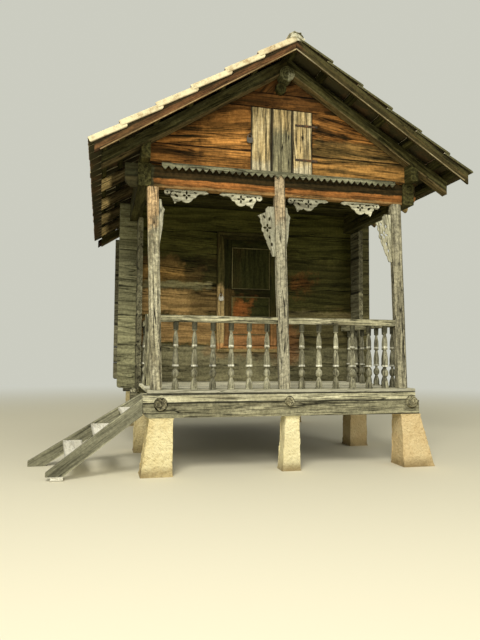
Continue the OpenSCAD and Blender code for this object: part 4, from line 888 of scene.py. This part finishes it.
def make_floor():
    """A pale floor that fades into an even pale background."""
    n = Nodes("pale_floor")
    n.feed(n.shader, {"Roughness": 0.9, "Base Color": FLOOR_COLOUR})
    away = n.add("VectorMath", {0: n.place()[0]}, operation="LENGTH").outputs["Value"]
    seen = n.add("LightPath").outputs["Is Camera Ray"]
    fade = n.times(n.spread(away, *FLOOR_FADE), seen)
    n.show_mix(fade, n.shader, n.add("Emission", {"Color": BACKDROP}))
    mesh = bpy.data.meshes.new("floor")
    corners = [(x * FLOOR_REACH, y * FLOOR_REACH, 0) for x, y in ((-1, -1), (1, -1), (1, 1), (-1, 1))]
    mesh.from_pydata(corners, [], [(0, 1, 2, 3)])
    mesh.materials.append(n.owner)
    floor = bpy.data.objects.new("floor", mesh)
    scene.collection.objects.link(floor)


def make_sky():
    """A soft sky lights the model, and the camera and gloss see the plain backdrop."""
    n = Nodes("studio", bpy.data.worlds)
    scene.world = n.owner
    n.feed(n.shader, {"Color": SKY_COLOUR, "Strength": SKY_STRENGTH})
    rays = n.add("LightPath").outputs
    plain = n.math("MAXIMUM", rays["Is Camera Ray"], rays["Is Glossy Ray"])
    n.show_mix(plain, n.shader, n.add("Background", {"Color": BACKDROP, "Strength": 1.0}))


make_camera()

# Places on the model that the tints follow
LINTEL_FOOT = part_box("front_lintel")[0][2]
BALUSTER_FOOT, BALUSTER_HEAD = (corner[2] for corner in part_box("balusters"))
BALUSTER_H = BALUSTER_HEAD - BALUSTER_FOOT
HATCH_LOW, HATCH_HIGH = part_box("loft_hatch")
HATCH_FOOT = HATCH_LOW[2]
LOG_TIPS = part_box("round_rafters")[0][0] + 0.10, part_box("round_rafters")[1][0] - 0.10
RIDGE_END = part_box("ridge_log")
RIDGE_HALF = [0.45 * low + 0.55 * high for low, high in zip(*RIDGE_END)]
PORCH_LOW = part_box("porch_floor")[0]
GABLE_TOP = HATCH_HIGH[2] + 0.02
FAR = 99.0

# Tints of the porch wall: bright and warm low on the left, dark and olive high up and on the right. Besides
# the planks' own reddish stains, this is painted light low on the left and painted shade under the roof and
# on the right.
WALL_STAINS_LIGHT_AND_SHADE = [
    zone((0.27, 0.25, 0.14), 0.85, 0.02, z=(-FAR, 1.475)),
    zone((0.26, 0.155, 0.065), 0.5, 0.06, x=(-0.7, 0.45), z=(1.32, 1.475)),
    zone((0.44, 0.27, 0.105), 0.75, 0.04, x=(-1.7, -0.5), z=(1.5, 1.86)),
    zone((0.7, 0.45, 0.17), 0.85, 0.05, x=(-1.7, -0.92), z=(1.93, 2.3)),
    zone((0.42, 0.27, 0.1), 0.7, 0.05, x=(-0.96, -0.48), z=(1.93, 2.3)),
    zone((0.5, 0.45, 0.22), 0.75, 0.025, x=(-1.7, -0.6), z=(2.31, 2.41)),
    zone((0.68, 0.4, 0.12), 0.8, 0.06, x=(-1.7, -1), z=(2.42, 2.62)),
    zone((0.29, 0.175, 0.06), 0.6, 0.07, x=(-1.05, -0.72), z=(2.42, 2.58)),
    zone((0.36, 0.22, 0.072), 0.65, 0.08, x=(-1.7, -1.08), z=(2.6, 2.8)),
    zone((0.122, 0.121, 0.028), 0.78, 0.06, z=(2.8, FAR)),
    zone((0.15, 0.14, 0.072), 0.75, 0.08, x=(0.5, FAR), z=(-FAR, 1.475)),
    zone((0.13, 0.112, 0.048), 0.75, 0.06, x=(0.5, FAR), z=(1.5, 1.86)),
    zone((0.3, 0.125, 0.045), 0.6, 0.08, x=(0.45, 0.76), z=(1.24, 1.8)),
    zone((0.052, 0.05, 0.012), 0.85, 0.09, x=(0.5, FAR), z=(2.05, 2.8)),
    zone((0.2, 0.165, 0.075), 0.6, 0.03, x=(0.5, FAR), z=(1.88, 2.02)),
    zone((0.22, 0.085, 0.022), 0.75, 0.14, x=(0.6, 0.95), z=(2.34, 2.54)),
    zone((0.35, 0.34, 0.19), 0.94, 0.008, x=(-FAR, -1.68)),
    zone((0.17, 0.155, 0.07), 0.7, 0.015, x=(1.69, FAR)),
]

# A wood's colours are light, middle, dark and stain. Then come its stain share, rings, contrast and crack,
# and where it is bleached, by how much, to which colour, and the depth of its relief.
materials = {
    "weathered": wood(
        "weathered_grey_wood", (0.47, 0.445, 0.28), (0.25, 0.235, 0.14), (0.025, 0.023, 0.012),
        (0.13, 0.105, 0.055), 0.3, 24, 0.8, 0.95, 0.6, (0.6, 0.57, 0.39), 0.006, lines=0.8),
    "sill": wood(
        "sill_wood", (0.7, 0.67, 0.44), (0.44, 0.415, 0.26), (0.035, 0.032, 0.017), (0.13, 0.105, 0.055),
        0.3, 24, 0.7, 0.95, 0.6, (0.82, 0.79, 0.56), 0.006, streaks=0.7, lines=0.7, run=1.6,
        rim=(0.95, 0.1)),
    # Pale bleached boards, made near white as painted sunlight
    "floor": wood(
        "porch_board_wood", (0.96, 0.93, 0.7), (0.88, 0.85, 0.62), (0.45, 0.42, 0.28), (0.7, 0.67, 0.47),
        0.3, 24, 0.5, 0.8, 0.6, (0.98, 0.95, 0.75), 0.004, streaks=0.15, lines=0.2, mottle=0.2,
        rim=(0.9, 0.3), zones=[
            # A band along the front is darker: painted shadow of the handrail
            zone((0.42, 0.4, 0.25), 0.8, 0.01, y=(PORCH_LOW[1] + 0.02, PORCH_LOW[1] + 0.27)),
            zone((0.05, 0.047, 0.025), 0.9, 0.002, z=(-FAR, PORCH_LOW[2] + 0.011))]),
    "string": wood(
        "stair_string_wood", (0.295, 0.287, 0.19), (0.205, 0.199, 0.13), (0.042, 0.039, 0.024),
        (0.18, 0.175, 0.115), 0.3, 24, 0.4, 0.9, 0.5, (0.38, 0.37, 0.25), 0.004, knots=0.5, streaks=0.12,
        coarse=0.7, lines=0.45, run=1.8, mottle=0.45, rim=(0.8, 1.9)),
    "beam": wood(
        "deck_beam_wood", (0.262, 0.248, 0.15), (0.14, 0.13, 0.076), (0.018, 0.016, 0.009),
        (0.1, 0.085, 0.045), 0.3, 20, 0.9, 1, 0.6, (0.42, 0.395, 0.255), 0.006, lines=0.8, run=2,
        mottle=0.7, rim=(0.95, 0.14), zones=[
            zone((0.195, 0.186, 0.115), 0.65, 0.2, x=(-FAR, -0.7)),
            zone((0.34, 0.325, 0.205), 0.45, 0.2, x=(0.3, FAR))]),
    "post": wood(
        "post_wood", (0.58, 0.54, 0.36), (0.36, 0.33, 0.21), (0.036, 0.031, 0.018), (0.17, 0.13, 0.065),
        0.35, 20, 0.5, 1, 0.65, (0.68, 0.645, 0.46), 0.006, knots=0.9, streaks=0.35, coarse=0.75,
        lines=0.6, run=2.2, mottle=0.9, rim=(0.4, 0.6), zones=[
            zone((0.46, 0.43, 0.29), 0.55, 0.05, x=(1.3, FAR)),
            zone((0.74, 0.7, 0.51), 0.45, 0.05, x=(-0.4, 0.5)),
            zone((0.84, 0.53, 0.24), 0.72, 0.12, x=(-FAR, -1.2), z=(2.76, FAR)),
            zone((0.66, 0.43, 0.21), 0.5, 0.1, x=(-0.4, 0.5), z=(2.95, FAR))]),
    "wall": wood(
        "wall_plank_wood", (0.105, 0.09, 0.028), (0.055, 0.049, 0.014), (0.01, 0.01, 0.003),
        (0.095, 0.045, 0.013), 0.5, 10, 1.3, 0.8, swirl=0.28, streaks=0.5, coarse=1.7, lines=0.4,
        gloss=0.08, run=2, rim=(0.95, 0.12), zones=WALL_STAINS_LIGHT_AND_SHADE),
    "low_wall": wood(
        "low_plank_wood", (0.105, 0.09, 0.028), (0.055, 0.049, 0.014), (0.01, 0.01, 0.003),
        (0.095, 0.045, 0.013), 0.5, 10, 1, 0.8, swirl=0.28, streaks=0.2, coarse=1.7, lines=0.2,
        gloss=0.08, run=3, mottle=0.65, rim=(0.25, 0.5), zones=WALL_STAINS_LIGHT_AND_SHADE),
    "side_wall": wood(
        "side_plank_wood", (0.27, 0.255, 0.155), (0.155, 0.146, 0.088), (0.035, 0.032, 0.018),
        (0.13, 0.1, 0.055), 0.4, 12, 0.9, 0.9, 0.4, (0.34, 0.325, 0.205), knots=0.8, swirl=0.2,
        streaks=0.35, coarse=1.2, lines=0.5, run=1.5, rim=(0.92, 0.16)),
    "gable": wood(
        "gable_plank_wood", (0.36, 0.16, 0.038), (0.15, 0.064, 0.015), (0.011, 0.008, 0.002),
        (0.075, 0.034, 0.01), 0.4, 10, 1.5, 0.9, knots=1, swirl=0.24, streaks=0.8, coarse=1.3, lines=0.7,
        gloss=0.08, run=1.9, rim=(1, 0.08), zones=[
            # Above the hatch the planks are dark: painted shade under the roof's overhang
            zone((0.064, 0.028, 0.007), 0.85, 0.04, z=(GABLE_TOP, FAR)),
            zone((0.54, 0.25, 0.06), 0.65, 0.1, x=(-1.1, -0.5), z=(HATCH_FOOT, HATCH_FOOT + 0.6)),
            zone((0.2, 0.138, 0.044), 0.65, 0.03, x=(0.3, FAR),
                 z=(HATCH_FOOT + 0.2, HATCH_FOOT + 0.46)),
            zone((0.46, 0.255, 0.07), 0.6, 0.05, x=(0.3, FAR), z=(-FAR, HATCH_FOOT + 0.2)),
            zone((0.05, 0.034, 0.012), 0.75, 0.04, x=(HATCH_HIGH[0] + 0.1, HATCH_HIGH[0] + 0.44),
                 z=(HATCH_FOOT + 0.4, HATCH_FOOT + 0.47)),
            zone((0.05, 0.038, 0.014), 0.75, 0.04, x=(HATCH_HIGH[0] + 0.2, HATCH_HIGH[0] + 0.44),
                 z=(HATCH_FOOT + 0.06, HATCH_FOOT + 0.12))]),
    "lintel": wood(
        "lintel_wood", (0.42, 0.165, 0.042), (0.17, 0.07, 0.018), (0.018, 0.012, 0.004),
        (0.06, 0.04, 0.012), 0.35, 14, 1.2, 0.8, coarse=1.3, gloss=0.08, zones=[
            # The upper part, set back under the sawtooth board, is near black: painted shade
            zone((0.02, 0.02, 0.007), 0.92, 0.012, z=(LINTEL_FOOT + 0.11, FAR)),
            zone((0.5, 0.33, 0.13), 0.5, 0.008, z=(-FAR, LINTEL_FOOT + 0.03)),
            zone((0.06, 0.06, 0.027), 0.94, 0.02, x=(-FAR, -1.61)),
            zone((0.055, 0.055, 0.024), 0.94, 0.02, x=(1.7, FAR))]),
    # Timbers under the roof and inside are near black: painted shade over their own dark weathered colour
    "dark": wood(
        "shaded_under_roof_wood", (0.09, 0.082, 0.027), (0.039, 0.036, 0.011), (0.007, 0.007, 0.002),
        (0.06, 0.04, 0.012), 0.35, 18, 1, 0.7, 0.25, (0.17, 0.165, 0.065), gloss=0.06),
    "rafter": wood(
        "gable_rafter_wood", (0.118, 0.105, 0.038), (0.052, 0.047, 0.016), (0.009, 0.009, 0.003),
        (0.065, 0.045, 0.014), 0.35, 16, 1.1, 0.8, 0.35, (0.22, 0.215, 0.1), gloss=0.06,
        zones=[zone((0.26, 0.19, 0.085), 0.7, 0.006, up=(-FAR, -0.05))]),
    "log": wood(
        "round_log_wood", (0.46, 0.42, 0.27), (0.26, 0.235, 0.14), (0.022, 0.02, 0.01),
        (0.13, 0.11, 0.05), 0.4, 30, 0.3, 1, 0.6, (0.52, 0.5, 0.33), 0.008, streaks=1, lines=0.9,
        gloss=0.1, mottle=0.9, rim=(0, 1)),
    "ridge_log": wood(
        "ridge_log_wood", (0.17, 0.165, 0.075), (0.08, 0.078, 0.034), (0.015, 0.015, 0.006),
        (0.09, 0.07, 0.03), 0.35, 30, 1, 1, 0.3, (0.24, 0.23, 0.12), gloss=0.08,
        zones=[zone((0.46, 0.45, 0.28), 0.8, 0.012, z=(-FAR, RIDGE_HALF[2]), x=(RIDGE_HALF[0], FAR),
                    y=(-FAR, RIDGE_END[0][1] + 0.02))]),
    "eave_log": wood(
        "rafter_log_wood", (0.19, 0.145, 0.068), (0.085, 0.062, 0.028), (0.015, 0.011, 0.005),
        (0.11, 0.07, 0.03), 0.3, 30, 1, 1, 0.3, (0.28, 0.24, 0.13), gloss=0.08, zones=[
            # The cut ends are tan, and lighter on the left as painted light
            zone((0.95, 0.72, 0.34), 0.95, 0.03, x=(-FAR, LOG_TIPS[0])),
            zone((0.52, 0.38, 0.17), 0.8, 0.035, x=(LOG_TIPS[1], FAR))]),
    "verge": wood(
        "verge_board_wood", (0.18, 0.088, 0.034), (0.074, 0.037, 0.015), (0.012, 0.009, 0.004),
        (0.06, 0.058, 0.021), 0.45, 14, 1.1, 0.7, coarse=1.2, gloss=0.08, zones=[
            # The upper part of each board is near black: painted shade under the tiles
            zone((0.03, 0.024, 0.01), 0.9, 0.006, up=(0.012, FAR)),
            zone((0.085, 0.076, 0.026), 0.75, 0.03, x=(0, FAR))]),
    "door": wood(
        "door_wood", (0.045, 0.045, 0.013), (0.027, 0.028, 0.007), (0.011, 0.012, 0.004),
        (0.05, 0.026, 0.008), 0.5, 14, 0.6, 0.6, streaks=0.2, coarse=2.2, lines=0.1, gloss=0.08, zones=[
            # The door is lighter low down and near black higher up: its own red-brown, with painted light
            # low down and painted shade under the porch roof
            zone((0.54, 0.265, 0.1), 0.72, 0.04, z=(-FAR, 1.66)),
            zone((0.42, 0.215, 0.078), 0.68, 0.05, z=(1.66, 1.88)),
            zone((0.4, 0.135, 0.032), 0.75, 0.09, x=(-0.26, -0.02), z=(1.92, 2.16)),
            zone((0.26, 0.165, 0.052), 0.6, 0.02, x=(-0.42, -0.25), z=(1.88, 2.32))]),
    "jamb": wood(
        "door_frame_wood", (0.105, 0.092, 0.03), (0.052, 0.046, 0.014), (0.012, 0.012, 0.004),
        (0.1, 0.04, 0.012), 0.4, 20, 0.9, 0.6, gloss=0.08, zones=[
            # The frame is lighter low down and on the left: its own red-brown, with painted light
            zone((0.6, 0.43, 0.19), 0.8, 0.05, z=(1.49, 2.36), x=(-FAR, 0)),
            zone((0.4, 0.22, 0.08), 0.75, 0.05, z=(1.49, 1.98), x=(0, FAR)),
            zone((0.58, 0.28, 0.1), 0.7, 0.01, z=(1.44, 1.52)),
            zone((0.4, 0.29, 0.12), 0.7, 0.01, z=(-FAR, 1.44))]),
    "moulding": wood(
        "moulding_wood", (0.32, 0.29, 0.125), (0.18, 0.16, 0.065), (0.05, 0.04, 0.018), (0.13, 0.09, 0.035),
        0.3, 30, 0.6, 0.4, knots=0, lines=0.2),
    "hatch": wood(
        "hatch_board_wood", (0.54, 0.41, 0.19), (0.29, 0.215, 0.095), (0.022, 0.019, 0.009),
        (0.17, 0.145, 0.07), 0.35, 18, 0.9, 1, 0.5, (0.66, 0.58, 0.35), streaks=0.8, lines=0.8, run=1.7,
        rim=(0.95, 0.1), zones=[zone((0.66, 0.61, 0.42), 0.6, 0.05, z=(-FAR, HATCH_FOOT + 0.14))]),
    "hatch_middle": wood(
        "stained_hatch_wood", (0.56, 0.42, 0.19), (0.31, 0.23, 0.1), (0.022, 0.019, 0.009),
        (0.15, 0.13, 0.065), 0.35, 18, 0.9, 1, 0.4, (0.62, 0.53, 0.31), streaks=0.9, lines=0.8, run=1.7,
        rim=(0.95, 0.1), zones=[zone((0.24, 0.23, 0.135), 0.88, 0.08, z=(-FAR, HATCH_FOOT + 0.5))]),
    "sawtooth": wood(
        "sawtooth_wood", (0.31, 0.305, 0.185), (0.18, 0.178, 0.105), (0.04, 0.039, 0.02),
        (0.11, 0.1, 0.052), 0.3, 26, 0.7, 0.8, 0.5, (0.43, 0.42, 0.27), knots=0, lines=0.7),
    "baluster": wood(
        "turned_wood", (0.35, 0.335, 0.225), (0.19, 0.18, 0.115), (0.026, 0.024, 0.014),
        (0.1, 0.092, 0.052), 0.3, 40, 0.5, 0.8, 0.55, (0.56, 0.545, 0.385), knots=0, streaks=0.4,
        lines=0.5, rim=(0, 1), zones=[
            zone((0.05, 0.048, 0.026), 0.85, 0.006, z=(BALUSTER_FOOT + 0.885 * BALUSTER_H, FAR)),
            zone((0.98, 0.96, 0.76), 0.9, 0.003,
                 z=(BALUSTER_FOOT + 0.645 * BALUSTER_H, BALUSTER_FOOT + 0.67 * BALUSTER_H)),
            zone((0.98, 0.97, 0.8), 0.9, 0.003,
                 z=(BALUSTER_FOOT + 0.345 * BALUSTER_H, BALUSTER_FOOT + 0.37 * BALUSTER_H))]),
    "fret": wood(
        "fretwork_wood", (0.52, 0.5, 0.37), (0.35, 0.34, 0.235), (0.11, 0.1, 0.065), (0.2, 0.18, 0.11),
        0.35, 30, 0.6, 0.8, 0.5, (0.6, 0.585, 0.44), knots=0, streaks=0.5, lines=0.4, rim=(0, 1)),
    # Treads near white: bleached wood, lightened further as painted sunlight
    "tread": wood(
        "tread_wood", (0.95, 0.93, 0.8), (0.86, 0.83, 0.68), (0.4, 0.37, 0.27), (0.45, 0.42, 0.3), 0.2,
        30, 0.4, 0.4, 0.7, (0.96, 0.94, 0.84), knots=0.2, streaks=0.1, lines=0.15, mottle=0.25),
    "strip": wood(
        "cover_strip_wood", (0.56, 0.47, 0.26), (0.38, 0.3, 0.15), (0.1, 0.075, 0.036),
        (0.28, 0.2, 0.09), 0.35, 30, 0.5, 0.5, 0.5, (0.68, 0.6, 0.38), knots=0, streaks=0.8,
        zones=[zone((0.36, 0.22, 0.085), 0.7, 0.03, x=(-FAR, -0.12))]),
    "stone": sandstone(
        "tooled_sandstone", (0.83, 0.74, 0.43), (0.7, 0.58, 0.3), (0.38, 0.27, 0.11), side_tint=0.7),
    "pad": sandstone("grey_stone", (0.8, 0.78, 0.66), (0.66, 0.63, 0.5), (0.4, 0.36, 0.24), 0.02),
    "clay": fired_clay("roof_tile_clay"),
    "mortar": lime_mortar("ridge_mortar"),
    "iron": rusted_iron("forged_iron"),
    "steel": worn_steel("padlock_steel"),
}

# Timber nodes with their material, their slot in the record, and how far the pith lies beside them
DRESS = [
    ("bearing_beams", "beam", "weathered_wood", 0.10),
    ("sill_beams", "sill", "weathered_wood", 0.10),
    ("floor_bearers", "dark", "dark_wood", 0.1),
    ("left_wall right_wall rear_wall", "side_wall", "wall_wood", 0.12),
    ("front_wall_low", "low_wall", "wall_wood", 0.14),
    ("front_wall_left front_wall_right front_wall_head", "wall", "wall_wood", 0.14),
    ("door_jambs door_head_and_sill", "jamb", "red_wood", 0.1),
    ("porch_posts", "post", "weathered_wood", 0.05),
    ("handrails", "weathered", "weathered_wood", 0.06),
    ("newel", "weathered", "weathered_wood", 0.05),
    ("stair_strings", "string", "weathered_wood", 0.1),
    ("stair_treads", "tread", "weathered_wood", 0.1),
    ("front_lintel", "lintel", "red_wood", 0.1),
    ("side_plates", "dark", "dark_wood", 0.08),
    ("upper_plates", "dark", "wall_wood", 0.08),
    ("loft_joists", "dark", "dark_wood", 0.08),
    ("front_gable rear_gable", "gable", "red_wood", 0.16),
    ("sawtooth_board", "sawtooth", "weathered_wood", 0.1),
    ("ridge_log", "ridge_log", "weathered_wood", 0.012),
    ("corbel_logs", "dark", "dark_wood", 0.012),
    ("gable_rafters", "rafter", "dark_wood", 0.08),
    ("round_rafters", "eave_log", "weathered_wood", 0.012),
    ("tile_battens", "dark", "dark_wood", 0.05),
    ("verge_boards", "verge", "red_wood", 0.1),
]
for nodes, look, slot, pith_reach in DRESS:
    for node in nodes.split():
        dress(node, look, slot, pith_reach=pith_reach)
for node in ("lintel_brackets", "post_brackets"):
    dress(node, "fret", "pale_wood", edge=0.002, depth=0.001, steps=(0.05, 0.05, 0.05))
dress("door_leaf", "door", "red_wood", body="door", edge=0.003, depth=0.001)
dress("sleeper_logs", "log", "weathered_wood", chop_stub, lambda piece: grain_frame(piece, AXES[1]),
      "sleeper", pith_reach=0.015)
# The balusters keep the shape of the lathe, with upright grain
dress("balusters", "baluster", "weathered_wood", lambda *piece: None,
      lambda piece: grain_frame(piece, AXES[2]))
boarded("porch_floor", "floor", 0.20)
boarded("room_floor", "dark", 0.22)
boarded("loft_floor", "dark", 0.20)
dress("stone_piers", "stone", "stone", tool_stone, lambda piece: AXES)
dress("stair_pad", "pad", "stone", tool_stone, lambda piece: AXES)
lay_tiles("left_tiles")
lay_tiles("right_tiles")
lay_ridge()
cover_strips()
door_mouldings()
hatch_boards()
PLAIN_METAL = {"door_straps": "iron", "door_pintles": "iron", "hatch_straps": "iron",
               "lock_staples": "iron", "padlocks": "steel"}
for node, look in PLAIN_METAL.items():
    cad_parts[node].data.materials.clear()
    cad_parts[node].data.materials.append(materials[look])
strap_nails()

make_floor()
make_sky()
area_lamp("key", (-5.0, -9.5, 10.5), 5.0, 1350, (1.0, 0.965, 0.88))
area_lamp("front", (-2.6, -10.5, 6.2), 3.0, 380, (1.0, 0.97, 0.90))
area_lamp("fill", (8.0, -9.0, 4.0), 6.0, 240, (1.0, 0.98, 0.92))
scene.view_settings.view_transform = "Standard"
